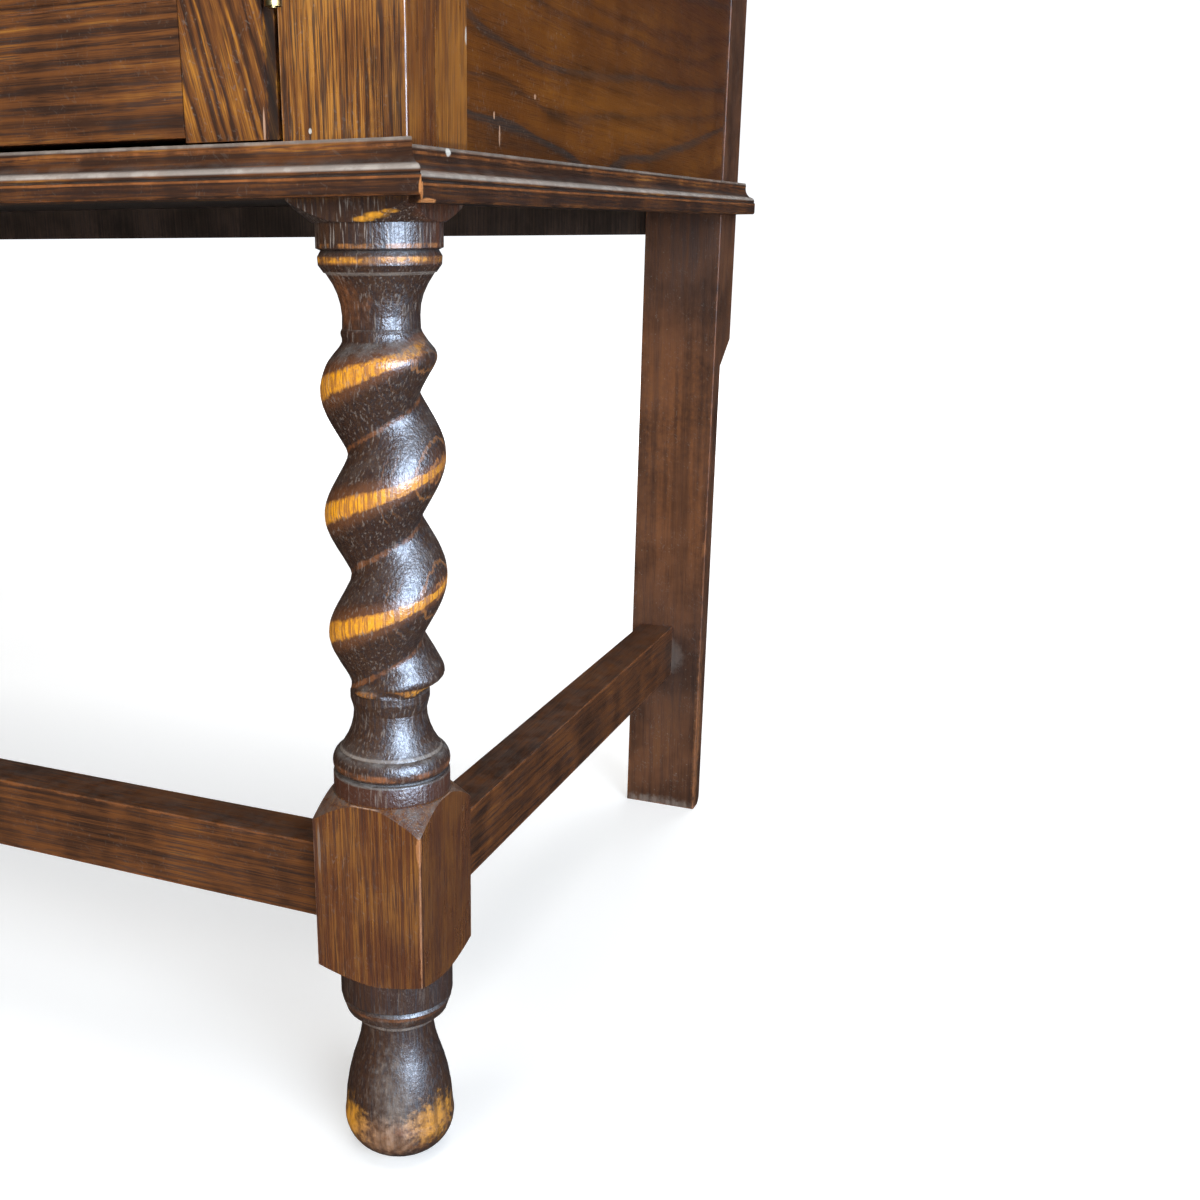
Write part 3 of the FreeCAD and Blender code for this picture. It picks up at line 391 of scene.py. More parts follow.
RUBBED: Colour = (0.27, 0.092, 0.026)
AMBER: Colour = (0.77, 0.325, 0.008)
RAW_OAK: Colour = (0.56, 0.22, 0.075)
CREAM: Colour = (0.5, 0.3, 0.2)
GREY_DUST: Colour = (0.15, 0.132, 0.118)
PALE_DUST: Colour = (0.27, 0.23, 0.2)
PAINT: Colour = (0.62, 0.6, 0.56)
TURNED_STAIN: Colour = (0.025, 0.013, 0.0105)
OLD_WAX: Colour = (0.034, 0.025, 0.023)
# Near black: thin lines in grooves and joints, and painted shade in the hinge gap of the right door.
NEAR_BLACK: Colour = (0.017, 0.012, 0.01)
PORE_LINE: Colour = (0.04, 0.028, 0.023)
CHIPPED: Colour = (0.46, 0.19, 0.065)
RING_RED: Colour = (0.42, 0.16, 0.03)
WORN_TAN: Colour = (0.4, 0.2, 0.09)
# Pale grey: dust along one line of the moulding, and a painted highlight on the belly of the foot.
DUST_AND_HIGHLIGHT_GREY: Colour = (0.44, 0.39, 0.35)
BLOCK_RED: Colour = (0.078, 0.025, 0.012)
# Dark red for painted shade: the block's right side, its lower front and left edge, and the side panel's
# upper rear.
PAINTED_SHADE_RED: Colour = (0.052, 0.018, 0.011)
# Red stain with painted shade, laid over the whole right side of the post.
RED_STAIN_AND_SHADE: Colour = (0.15, 0.039, 0.006)
GLOWING: Colour = (0.3, 0.105, 0.008)
SCRATCHED: Colour = (0.17, 0.145, 0.13)
SPECKLED: Colour = (0.3, 0.25, 0.2)


@dataclass(frozen=True)
class OakFinish:
    """Stained and waxed oak on one board or set of boards.

    The pith lies off the board's middle, in millimetres, as are the spacing and the wander of the rings.
    """

    grain: Grain = Grain.UPRIGHT
    pith: Triple = (-150.0, 60.0, 0.0)
    tilt: Triple = (0.5, 0.5, 0.0)
    spacing: float = 3.0
    wander: float = 6.0
    torn: float = 3.0
    bow: float = 0.0
    lines: float = 0.0
    dark: Colour = (0.04, 0.0175, 0.0095)
    middle: Colour = (0.128, 0.044, 0.012)
    light: Colour = (0.36, 0.15, 0.024)
    tone: float = 0.4
    figure: float = 0.5
    streak: float = 0.4
    fibre: float = 0.2
    mottle: float = 0.25
    wax: float = 0.5
    worn: Colour = RUBBED
    wear: float = 0.5
    wear_width: float = 1.2
    broken: float = 0.9
    dust: float = 0.4
    marks: float = 0.3
    pits: float = 6.0
    rough: float = 0.32
    coat: float = 0.2
    coat_rough: float = 0.22
    shine: float = 0.3
    bands: tuple[WornBand, ...] = ()
    patches: tuple[Patch, ...] = ()

    def dress(self, node: str, effects: Effects) -> None:
        """Give a CAD node this finish.

        Args:
            node: the node's name.
            effects: the shared node groups.
        """
        shader = OakShader(node, self, effects)
        for low, high in solid_boxes(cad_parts[node]):
            shader.rub_arrises(low, high)
        shader.finish()


def new_material(name: str) -> tuple[bpy.types.Material, Graph, Sockets]:
    """Start a material.

    Args:
        name: its name.

    Returns:
        The material, the graph of its tree and the inputs of its shader.
    """
    material = bpy.data.materials.new(name)
    material.use_nodes = True
    tree = material.node_tree
    return material, Graph(tree), tree.nodes["Principled BSDF"].inputs


def new_object(name: str, data: bpy.types.ID) -> bpy.types.Object:
    """Put a new object in the scene.

    Args:
        name: its name.
        data: its mesh, light or camera.

    Returns:
        The object.
    """
    made = bpy.data.objects.new(name, data)
    bpy.context.scene.collection.objects.link(made)
    return made


def coat_node(shell: bpy.types.Object, material: bpy.types.Material) -> None:
    """Put one material on a whole CAD node."""
    shell.data.materials.clear()
    shell.data.materials.append(material)


def solid_boxes(shell: bpy.types.Object) -> list[tuple[Vector, Vector]]:
    """Boxes of the separate solids in a node's mesh.

    Args:
        shell: the node's object.

    Returns:
        Lowest and highest corner of each solid.
    """
    mesh = shell.data
    points = np.empty(len(mesh.vertices) * 3, np.float32)
    mesh.vertices.foreach_get("co", points)
    points = points.reshape(-1, 3)
    _, same = np.unique(np.round(points, 6), axis=0, return_inverse=True)
    edges = np.empty(len(mesh.edges) * 2, np.int32)
    mesh.edges.foreach_get("vertices", edges)
    ends = same.ravel()[edges.reshape(-1, 2)]
    label = np.arange(same.max() + 1)
    while True:
        least = np.minimum(label[ends[:, 0]], label[ends[:, 1]])
        fresh = label.copy()
        np.minimum.at(fresh, ends[:, 0], least)
        np.minimum.at(fresh, ends[:, 1], least)
        if (fresh == label).all():
            break
        label = fresh
    owner = label[same.ravel()]
    groups = [points[owner == one] for one in np.unique(owner)]
    return [(Vector(group.min(0)), Vector(group.max(0))) for group in groups]


class OakShader:
    """Builds the oak material of one node, layer on layer."""

    SEED_STEP = 0.613
    EDGE, WAX_SHADE = 1.0, 0.5
    PORE_DULL, WEAR_DULL, BAND_DULL, PATCH_DULL = 0.4, 0.15, 0.3, 0.4
    SCRATCH_DULL, SPECK_DULL, DUST_DULL = 0.3, 0.2, 0.9
    BAND_SCALE, BAND_CORE = 120.0, 0.35
    DULL_ROUGH, TURNED_DULL_ROUGH = 0.15, 0.25
    TURNED_ROUGH, MOTTLE_ROUGH = 0.09, 0.05
    TURNED_COAT, FLAT_PITS = 0.2, 0.1
    FIBRE_RELIEF, PORE_RELIEF = 0.25, -0.45
    BUMP_STRENGTH, BUMP_DISTANCE = 0.2, 0.0005
    COAT_IOR = 1.5

    def __init__(self, node: str, look: OakFinish, effects: Effects) -> None:
        """Set out the figure of the board.

        Args:
            node: the CAD node's name.
            look: the finish.
            effects: the shared node groups.
        """
        self.look = look
        self.effects = effects
        self.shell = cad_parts[node]
        self.material, self.graph, self.inputs = new_material(node + "_oak")
        self.place = self.graph.node("ShaderNodeTexCoord").outputs["Object"]
        self.height = self.graph.math("DIVIDE", self.graph.split(self.place)[2], MM)
        corners = [Vector(corner) for corner in self.shell.bound_box]
        middle = sum(corners, Vector()) / len(corners)
        self.oak = self.graph.group(
            effects.oak_figure,
            Position=self.place,
            Pith=tuple(middle + Vector(look.pith) * MM),
            Turn=tuple(math.radians(a + b) for a, b in zip(look.grain.value, look.tilt)),
            Seed=list(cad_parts).index(node) * self.SEED_STEP,
            Spacing=look.spacing * MM, Wander=look.wander * MM, Torn=look.torn * MM, Bow=look.bow,
        )
        self.marks = self.graph.group(effects.hand_marks, Position=self.place)
        self.contrast: Feed = 1.0
        self.gloss: Feed = 0.0
        self.leather: Feed = self.FLAT_PITS
        self.wear: Socket | None = None
        self.colour: Socket | None = None
        self.dullness: Socket | None = None

    def stain(self) -> None:
        """Mix the figure, the pores and the uneven stain into the colour."""
        graph, look = self.graph, self.look
        tone: Feed = 0.0
        for source, middle, share in (
            (self.oak["Figure"], 0.4, look.figure),
            (self.oak["Streak"], 0.5, look.streak),
            (self.oak["Fibre"], 0.5, look.fibre),
            (self.marks["Mottle"], 0.5, look.mottle),
        ):
            tone = graph.scaled(graph.minus(source, middle), share, tone)
        tone = graph.scaled(tone, self.contrast, look.tone, clamp=True)
        colour = graph.mix(graph.step(tone, 0.0, 0.5), look.dark, look.middle)
        colour = graph.mix(graph.step(tone, 0.42, 0.95), colour, look.light)
        if look.lines:
            dashed = graph.scaled(self.oak["Pores"], 0.5, look.lines)
            colour = graph.mix(graph.times(self.oak["Early"], dashed, clamp=True), colour, PORE_LINE)
        shaded = tuple(part * self.WAX_SHADE for part in look.dark)
        filled = graph.mix(self.marks["Mottle"], shaded, OLD_WAX)
        self.colour = graph.mix(graph.times(self.oak["Pores"], look.wax), colour, filled)
        self.dullness = graph.times(self.oak["Pores"], self.PORE_DULL)

    def rub_arrises(self, low: Vector, high: Vector) -> None:
        """Wear the edges of one squared solid.

        Args:
            low: its lowest corner.
            high: its highest corner.
        """
        rubbed = self.graph.group(
            self.effects.arris_wear, Position=self.place, Low=tuple(low), High=tuple(high),
            Width=self.look.wear_width * MM, Broken=self.look.broken,
        )["Wear"]
        self.wear = rubbed if self.wear is None else self.graph.math("MAXIMUM", self.wear, rubbed)

    def lay(self, mask: Feed, colour: Colour, strength: float, dull: float = 0.0) -> None:
        """Lay one more colour where a mask says.

        Args:
            mask: where it lies.
            colour: its colour.
            strength: how much of it covers.
            dull: how much of the gloss it takes.
        """
        if self.colour is None:
            self.stain()
        share = self.graph.times(mask, strength, clamp=True)
        self.colour = self.graph.mix(share, self.colour, colour)
        if dull:
            self.dullness = self.graph.scaled(share, dull, self.dullness)

    def within(self, low: float, high: float) -> Socket:
        """A mask for heights between two levels in millimetres."""
        rising = self.graph.step(self.height, low - self.EDGE, low)
        return self.graph.times(rising, self.graph.step(self.height, high + self.EDGE, high))

    def _lay_bands(self) -> None:
        """Lay the level lines, broken along their length."""
        graph = self.graph
        rubbed = graph.step(graph.noise(self.place, self.BAND_SCALE, 4.0, 0.65), 0.44, 0.62)
        rubbed = graph.times(rubbed, graph.scaled(self.oak["Pores"], -0.6, 1.0))
        for band in self.look.bands:
            off = graph.math("ABSOLUTE", graph.minus(self.height, band.height))
            line = graph.step(off, band.half, band.half * self.BAND_CORE)
            kept = graph.scaled(rubbed, band.broken, 1.0 - band.broken)
            self.lay(graph.times(line, kept), band.colour, band.strength, self.BAND_DULL)

    def _lay_patches(self) -> None:
        """Lay the single marks, the soft ones streaked along the grain."""
        for patch in self.look.patches:
            spot = self.graph.group(
                self.effects.patch_mark, Position=self.place, Ragged=patch.ragged, Soft=patch.soft,
                Centre=tuple(part * MM for part in patch.centre),
                Size=tuple(part * MM for part in patch.size),
            )["Mark"]
            if patch.soft:
                spot = self.graph.times(spot, self.graph.scaled(self.oak["Streak"], 0.7, 0.3))
            self.lay(spot, patch.colour, patch.strength, self.PATCH_DULL)

    def finish(self) -> None:
        """Add wear, marks and dust, feed the shader and put the material on the node."""
        graph, look = self.graph, self.look
        if self.wear is not None:
            fleck = graph.scaled(self.oak["Pores"], -0.5, 1.0)
            self.lay(graph.times(self.wear, fleck), look.worn, look.wear, self.WEAR_DULL)
        if look.bands:
            self._lay_bands()
        self.lay(self.marks["Scratch"], SCRATCHED, look.marks, self.SCRATCH_DULL)
        self.lay(self.marks["Speck"], SPECKLED, look.marks, self.SPECK_DULL)
        self._lay_patches()
        dust = graph.group(self.effects.settled_dust, Position=self.place)["Dust"]
        self.lay(dust, GREY_DUST, look.dust, self.DUST_DULL)
        self._feed_shader()
        coat_node(self.shell, self.material)

    def _feed_shader(self) -> None:
        """Bring the colour, the gloss and the relief to the shader; turned wood is rougher and more waxed."""
        graph, look, inputs = self.graph, self.look, self.inputs
        dulled = graph.scaled(self.gloss, self.TURNED_DULL_ROUGH, self.DULL_ROUGH)
        rough = graph.scaled(self.dullness, dulled, look.rough)
        rough = graph.scaled(self.gloss, self.TURNED_ROUGH, rough)
        rough = graph.scaled(self.marks["Mottle"], self.MOTTLE_ROUGH, rough, clamp=True)
        coat = graph.scaled(self.gloss, self.TURNED_COAT, look.coat)
        kept = graph.minus(1.0, self.dullness, clamp=True)
        relief = graph.times(self.oak["Fibre"], self.FIBRE_RELIEF)
        relief = graph.scaled(self.oak["Pores"], self.PORE_RELIEF, relief)
        relief = graph.scaled(graph.times(self.marks["Pit"], self.leather), look.pits, relief)
        graph.feed(inputs["Base Color"], self.colour)
        graph.feed(inputs["Roughness"], rough)
        graph.feed(inputs["Coat Weight"], graph.times(coat, kept, clamp=True))
        graph.feed(inputs["Normal"], graph.bump(relief, self.BUMP_STRENGTH, self.BUMP_DISTANCE))
        inputs["Specular IOR Level"].default_value = look.shine
        inputs["Coat Roughness"].default_value = look.coat_rough
        inputs["Coat IOR"].default_value = self.COAT_IOR


@dataclass(frozen=True)
class BrassFinish:
    """Old brass: bright, with noisy patches of brown tarnish and pale scratches."""

    bright: Colour = (0.62, 0.43, 0.16)
    brown: Colour = (0.16, 0.095, 0.035)
    scratched: Colour = (0.75, 0.58, 0.3)
    scratches: float = 0.6
    rough: float = 0.3
    tarnish_rough: float = 0.3
    tarnish_scale: float = 260.0
    cast_scale: float = 700.0
    bump: Span = (0.12, 0.0003)

    def dress(self, node: str, effects: Effects) -> None:
        """Give a CAD node this finish.

        Args:
            node: the node's name.
            effects: the shared node groups.
        """
        material, graph, inputs = new_material(node + "_brass")
        place = graph.node("ShaderNodeTexCoord").outputs["Object"]
        marks = graph.group(effects.hand_marks, Position=place)
        tarnish = graph.step(graph.noise(place, self.tarnish_scale, 4.0, 0.65), 0.38, 0.66)
        colour = graph.mix(tarnish, self.bright, self.brown)
        colour = graph.mix(graph.times(marks["Scratch"], self.scratches), colour, self.scratched)
        graph.feed(inputs["Base Color"], colour)
        graph.feed(inputs["Roughness"], graph.scaled(tarnish, self.tarnish_rough, self.rough))
        graph.feed(inputs["Normal"], graph.bump(graph.noise(place, self.cast_scale), *self.bump))
        inputs["Metallic"].default_value = 1.0
        coat_node(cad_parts[node], material)


@dataclass
class TwistLeg:
    """A front leg: square post, barley twist, square block and pear foot in one piece of oak.

    Sizes are in millimetres, and pairs of them are heights above the floor unless they are called a reach,
    which is counted from the leg's axis.
    """

    node: str
    hand: float
    look: OakFinish
    axis: Span = (494.0, -204.0)
    post: Span = (406.0, 918.0)
    post_fade: float = 6.0
    block: Span = (92.5, 174.0)
    square: float = 25.0
    collar: Span = (391.5, 408.0)
    plinth: Span = (175.0, 182.0)
    waxed: Span = (70.0, 180.0)
    pitch: float = 48.0
    crest_height: float = 290.0
    crest_angle: float = -152.0
    twist: Span = (219.0, 360.0)
    crest_half: float = 3.3
    crest_swell: float = 1.8
    crest_end: Span = (359.0, 353.0)
    crest_torn: float = 3.5
    torn_scale: float = 210.0
    fleck_scale: Triple = (1000.0, 1000.0, 60.0)
    tick_scale: Triple = (1100.0, 1100.0, 90.0)
    loop_reach: Span = (18.0, 23.0)
    groove_half: float = 1.5
    rim: Span = (218.6, 220.8)
    rim_reach: Span = (16.5, 17.2)
    base_bore: float = 20.0
    base_sides: int = 128
    base_sharp: float = 50.0
    base_profile: tuple[Span, ...] = (
        (24.45, 173.5), (24.45, 182.4), (24.25, 182.9), (23.9, 183.1), (22.8, 183.3), (22.8, 184.0),
        (23.5, 184.3), (24.1, 185.0), (24.45, 186.1), (24.55, 187.4), (24.4, 188.7), (24.0, 189.9),
        (23.4, 191.0), (22.7, 191.8), (21.8, 192.4), (20.8, 192.6),
    )

    def dress(self, effects: Effects) -> None:
        """Give the leg its figure, the rubbed crest of its twist and the marks of its turnings.

        Args:
            effects: the shared node groups.
        """
        shader = OakShader(self.node, self.look, effects)
        graph = shader.graph
        post = graph.step(shader.height, self.post[0], self.post[0] + self.post_fade)
        square = graph.math("ADD", post, shader.within(*self.block))
        turned = graph.minus(1.0, square, clamp=True)
        waxed = graph.scaled(graph.step(shader.height, *self.waxed), 0.65, 0.35)
        shader.contrast = graph.scaled(turned, -0.5, 1.0)
        shader.gloss = turned
        shader.leather = graph.times(turned, waxed)
        shader.lay(turned, TURNED_STAIN, 0.88)
        shader.lay(shader.within(*self.block), BLOCK_RED, 0.52)
        shader.lay(shader.within(*self.plinth), BLOCK_RED, 0.6)
        self._rub_twist(shader)
        self._streak_collar(shader)
        x, y = self.axis[0] * self.hand, self.axis[1]
        for low, high in (self.post, self.block):
            corner = Vector((x - self.square, y - self.square, low - self.pitch)) * MM
            shader.rub_arrises(corner, Vector((x + self.square, y + self.square, high)) * MM)
        shader.finish()
        self._turn_base(shader.material)

    def _turn_base(self, material: bpy.types.Material) -> None:
        """Turn the tall collar and bead that stand on the block, as one closed ring about the leg.

        Args:
            material: the leg's finish.
        """
        low, high = self.base_profile[0][1], self.base_profile[-1][1]
        outline = ((self.base_bore, low), *self.base_profile, (self.base_bore, high))
        x, y = self.axis[0] * self.hand, self.axis[1]
        turns = [2 * math.pi * step / self.base_sides for step in range(self.base_sides)]
        points = [
            (Vector((x + radius * math.cos(turn), y + radius * math.sin(turn), height)) * MM)[:]
            for turn in turns
            for radius, height in outline
        ]
        rows = len(outline)
        starts = range(0, len(points), rows)
        faces = [
            (near + row, far + row, far + (row + 1) % rows, near + (row + 1) % rows)
            for near, far in zip(starts, (*starts[1:], 0))
            for row in range(rows)
        ]
        mesh = bpy.data.meshes.new(f"{self.node}_base")
        mesh.from_pydata(points, [], faces)
        mesh.shade_smooth()
        mesh.set_sharp_from_angle(angle=math.radians(self.base_sharp))
        mesh.materials.append(material)
        base = new_object(f"{self.node}_base", mesh)
        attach(base, "case")

    def _rub_twist(self, shader: OakShader) -> None:
        """Lay the amber band on the crest of the spiral, a red line in its groove and the rings beside it.

        Args:
            shader: the leg's material.
        """
        graph = shader.graph
        spiral = graph.group(
            shader.effects.twist_wear, Position=shader.place,
            Centre=(self.axis[0] * self.hand * MM, self.axis[1] * MM, self.crest_height * MM),
            Hand=self.hand, Pitch=self.pitch * MM, Crest=math.radians(self.crest_angle),
        )
        rise = graph.math("ABSOLUTE", graph.math("DIVIDE", spiral["Rise"], MM))
        reach = graph.math("DIVIDE", spiral["Reach"], MM)
        twisted = shader.within(*self.twist)
        ragged = graph.minus(graph.noise(shader.place, self.torn_scale, 4.0, 0.7), 0.5)
        edge = graph.scaled(ragged, self.crest_torn, rise)
        half = graph.scaled(spiral["Side"], self.crest_swell, self.crest_half)
        halo = graph.step(edge, graph.times(half, 2.4), half)
        shader.lay(graph.times(halo, twisted), RUBBED, 0.32)
        loops = graph.times(shader.oak["Early"], graph.step(reach, *self.loop_reach))
        shown = graph.times(graph.step(spiral["Side"], 0.3, -0.4), twisted)
        shader.lay(graph.times(loops, shown), RING_RED, 0.8)
        fleck = graph.step(graph.stretched(shader.place, self.fleck_scale), 0.58, 0.46)
        band = graph.times(graph.step(edge, half, graph.times(half, 0.6)), twisted)
        band = graph.times(band, graph.step(shader.height, *self.crest_end))
        shader.lay(band, RUBBED, 0.85)
        shader.lay(graph.times(band, graph.scaled(fleck, 0.8, 0.2)), AMBER, 0.97)
        shader.lay(graph.times(band, graph.step(ragged, 0.1, -0.12)), RING_RED, 0.55)
        lip = graph.times(shader.within(*self.rim), graph.step(reach, *self.rim_reach))
        lip = graph.times(lip, graph.scaled(fleck, 0.7, 0.3))
        shader.lay(lip, RING_RED, 0.6)
        shader.lay(graph.times(lip, graph.step(spiral["Side"], -0.2, -0.8)), AMBER, 0.8)
        depth = graph.minus(self.pitch / 2, edge)
        groove = graph.times(graph.step(depth, self.groove_half, self.groove_half * 0.3), twisted)
        shader.lay(graph.times(groove, graph.step(ragged, -0.16, 0.1)), RUBBED, 0.5)

    def _streak_collar(self, shader: OakShader) -> None:
        """Lay the pale upright ticks that wax has left in the pores of the turned parts, most on the collar.

        Args:
            shader: the leg's material.
        """
        graph = shader.graph
        ticks = graph.step(graph.stretched(shader.place, self.tick_scale), 0.57, 0.68)
        raised = graph.scaled(graph.step(shader.height, *self.waxed), 0.3, 0.2)
        thick = graph.scaled(shader.within(*self.collar), 0.5, raised)
        shader.lay(graph.times(graph.times(ticks, thick), shader.gloss), PALE_DUST, 0.7)


BRASS = BrassFinish()


class SubAssembly:
    """Nodes that are dressed together and whose names begin alike."""

    prefix: str
    metal: tuple[str, ...]

    def woods(self) -> dict[str, OakFinish]:
        """Finishes of the wooden nodes, by what follows the prefix in their names."""
        raise NotImplementedError

    def dress(self, effects: Effects) -> None:
        """Dress the woodwork and the brass.

        Args:
            effects: the shared node groups.
        """
        for part, look in (self.woods() | dict.fromkeys(self.metal, BRASS)).items():
            look.dress(self.prefix + part, effects)
            LOG.info("%s%s dressed", self.prefix, part)


@dataclass
class Carcass(SubAssembly):
    """Everything that doesn't move and isn't a front leg."""

    boards: dict[str, OakFinish]
    prefix: str = ""
    metal: tuple[str, ...] = ("catch_clips", "hinge_post_leaves", "hinge_pins")

    def woods(self) -> dict[str, OakFinish]:
        """Finishes of the fixed boards and rails."""
        return self.boards


@dataclass
class Door(SubAssembly):
    """A panelled door."""

    prefix: str
    stiles: OakFinish
    rails: OakFinish
    panel: OakFinish
    moulding: OakFinish
    metal: tuple[str, ...] = ("hinge_leaves", "pull_plate", "catch_stud", "drop")

    def woods(self) -> dict[str, OakFinish]:
        """Finishes of the frame, the panel and its moulding."""
        return {part: getattr(self, part) for part in ("stiles", "rails", "panel", "moulding")}


@dataclass
class Drawer(SubAssembly):
    """A drawer with a fielded front and two drops."""

    prefix: str
    front: OakFinish
    box: OakFinish
    metal: tuple[str, ...] = ("pull_plates", "inner_drop", "outer_drop")

    def woods(self) -> dict[str, OakFinish]:
        """Finishes of the front and the box."""
        return {"front": self.front} | dict.fromkeys(("sides", "back", "bottom"), self.box)


class Lit(Enum):
    """What a light acts on, as its visibility to diffuse and to glossy rays."""

    BODY = (True, False)
    GLINT = (False, True)


@dataclass(frozen=True)
class SoftBox:
    """One studio light."""

    name: str
    place: Triple
    aim: Triple
    size: Span
    power: float
    colour: Colour
    lit: Lit = Lit.BODY


WINDOW: Span = (1.7, 2.2)
CORNER: Triple = (0.5, -0.2, 0.3)


@dataclass
class Studio:
    """Pale floor, white surround, soft lights and the camera."""

    place: Triple = (0.7421, -0.6719, 0.396)
    heading: float = 25.03
    pitch: float = 17.48
    roll: float = -0.49
    lens: float = 40.67
    shift: Span = (0.1208, 0.05)
    nearest: float = 0.02
    floor_half: float = 14.0
    floor_fade: Span = (0.7, 2.6)
    floor_near: Colour = (0.8, 0.8, 0.8)
    floor_far: Colour = (0.82, 0.82, 0.82)
    floor_glow: Span = (0.67, 0.38)
    floor_rough: float = 0.9
    floor_shine: float = 0.1
    sky: Colour = (0.95, 0.97, 1.0)
    sky_light: Span = (-0.09, 0.12)
    lights: tuple[SoftBox, ...] = (
        SoftBox("key_window", (2.55, -1.85, 1.05), CORNER, WINDOW, 95.0, (0.85, 0.93, 1.0)),
        SoftBox("window_glint", (2.75, -1.45, 1.2), CORNER, WINDOW, 520.0, (0.56, 0.74, 1.0), Lit.GLINT),
        SoftBox("front_fill", (-0.9, -3.2, 1.5), (0.3, 0.0, 0.35), (2.6, 2.2), 85.0, (1.0, 0.96, 0.9)),
        SoftBox("overhead", (0.4, 0.2, 3.2), (0.2, 0.0, 0.3), (2.4, 2.0), 55.0, (1.0, 0.99, 0.97)),
        SoftBox("rear_fill", (0.6, 3.0, 1.4), (0.0, 0.2, 0.4), (2.2, 1.8), 50.0, (0.95, 0.97, 1.0)),
    )

    def build(self) -> None:
        """Set up the whole studio."""
        self._floor()
        self._surround()
        for light in self.lights:
            self._light(light)
        self._camera()
        bpy.context.scene.view_settings.view_transform = "Standard"

    def _floor(self) -> None:
        """A wide white floor that keeps only soft shadows."""
        half = self.floor_half
        mesh = bpy.data.meshes.new("studio_floor")
        corners = [(-half, -half, 0.0), (half, -half, 0.0), (half, half, 0.0), (-half, half, 0.0)]
        mesh.from_pydata(corners, [], [(0, 1, 2, 3)])
        floor = new_object("studio_floor", mesh)
        floor.visible_glossy = False
        material, graph, inputs = new_material("studio_white")
        place = graph.node("ShaderNodeTexCoord").outputs["Object"]
        far = graph.step(graph.vector("LENGTH", place), *self.floor_fade)
        sight = graph.node("ShaderNodeLightPath").outputs["Is Camera Ray"]
        graph.feed(inputs["Base Color"], graph.mix(far, self.floor_near, self.floor_far))
        graph.feed(inputs["Emission Strength"], graph.times(sight, graph.scaled(far, *self.floor_glow)))
        graph.feed(inputs["Emission Color"], (1.0, 1.0, 1.0))
        inputs["Roughness"].default_value = self.floor_rough
        inputs["Specular IOR Level"].default_value = self.floor_shine
        mesh.materials.append(material)

    def _surround(self) -> None:
        """A white surround that the camera sees brighter than it lights, and that glosses hardly show."""
        world = bpy.data.worlds.new("studio_surround")
        bpy.context.scene.world = world
        world.use_nodes = True
        graph = Graph(world.node_tree)
        back = world.node_tree.nodes["Background"].inputs
        path = graph.node("ShaderNodeLightPath").outputs
        light = graph.scaled(path["Is Glossy Ray"], *self.sky_light)
        graph.feed(back["Color"], self.sky)
        graph.feed(back["Strength"], graph.math("ADD", path["Is Camera Ray"], light))

    def _light(self, light: SoftBox) -> None:
        """Hang one soft light and turn it to its aim.

        Args:
            light: what hangs where.
        """
        lamp = bpy.data.lights.new(light.name, "AREA")
        lamp.shape = "RECTANGLE"
        lamp.size, lamp.size_y = light.size
        lamp.energy = light.power
        lamp.color = light.colour
        holder = new_object(light.name, lamp)
        holder.location = light.place
        holder.visible_diffuse, holder.visible_glossy = light.lit.value
        toward = Vector(light.aim) - Vector(light.place)
        holder.rotation_euler = toward.to_track_quat("-Z", "Y").to_euler()

    def _camera(self) -> None:
        """The camera, close to the right front leg and looking a little down."""
        data = bpy.data.cameras.new("camera")
        data.lens = self.lens
        data.shift_x, data.shift_y = self.shift
        data.clip_start = self.nearest
        camera = new_object("camera", data)
        camera.matrix_world = (
            Matrix.Translation(self.place)
            @ Matrix.Rotation(math.radians(self.heading), 4, "Z")
            @ Matrix.Rotation(math.radians(90.0 - self.pitch), 4, "X")
            @ Matrix.Rotation(math.radians(self.roll), 4, "Z")
        )
        bpy.context.scene.camera = camera


LEG_BANDS = (
    WornBand(426, 2, NEAR_BLACK, 0.5),
    WornBand(391.8, 1.2, RING_RED, 0.7, 1),
    WornBand(386.8, 1.9, RING_RED, 0.7, 0.6),
    WornBand(387, 1.4, AMBER, 0.75, 1),
    WornBand(389.9, 0.8, NEAR_BLACK, 0.8, 0.2),
    WornBand(382.1, 0.8, PALE_DUST, 0.6, 0.4),
    WornBand(193.2, 0.8, PALE_DUST, 0.8, 0.3),
    WornBand(186.6, 1.9, RUBBED, 0.75, 0.8),
    WornBand(183.7, 0.7, NEAR_BLACK, 0.9, 0.1),
    WornBand(182.6, 0.6, GREY_DUST, 0.7, 0.6),
    WornBand(77.9, 0.7, NEAR_BLACK, 0.8, 0.2),
    WornBand(75.5, 1.4, RUBBED, 0.5),
    WornBand(67.8, 0.9, PALE_DUST, 0.5, 0.5),
    WornBand(16, 10, RUBBED, 0.4, 0.8),
    WornBand(1, 3, NEAR_BLACK, 0.8, 0.3),
)
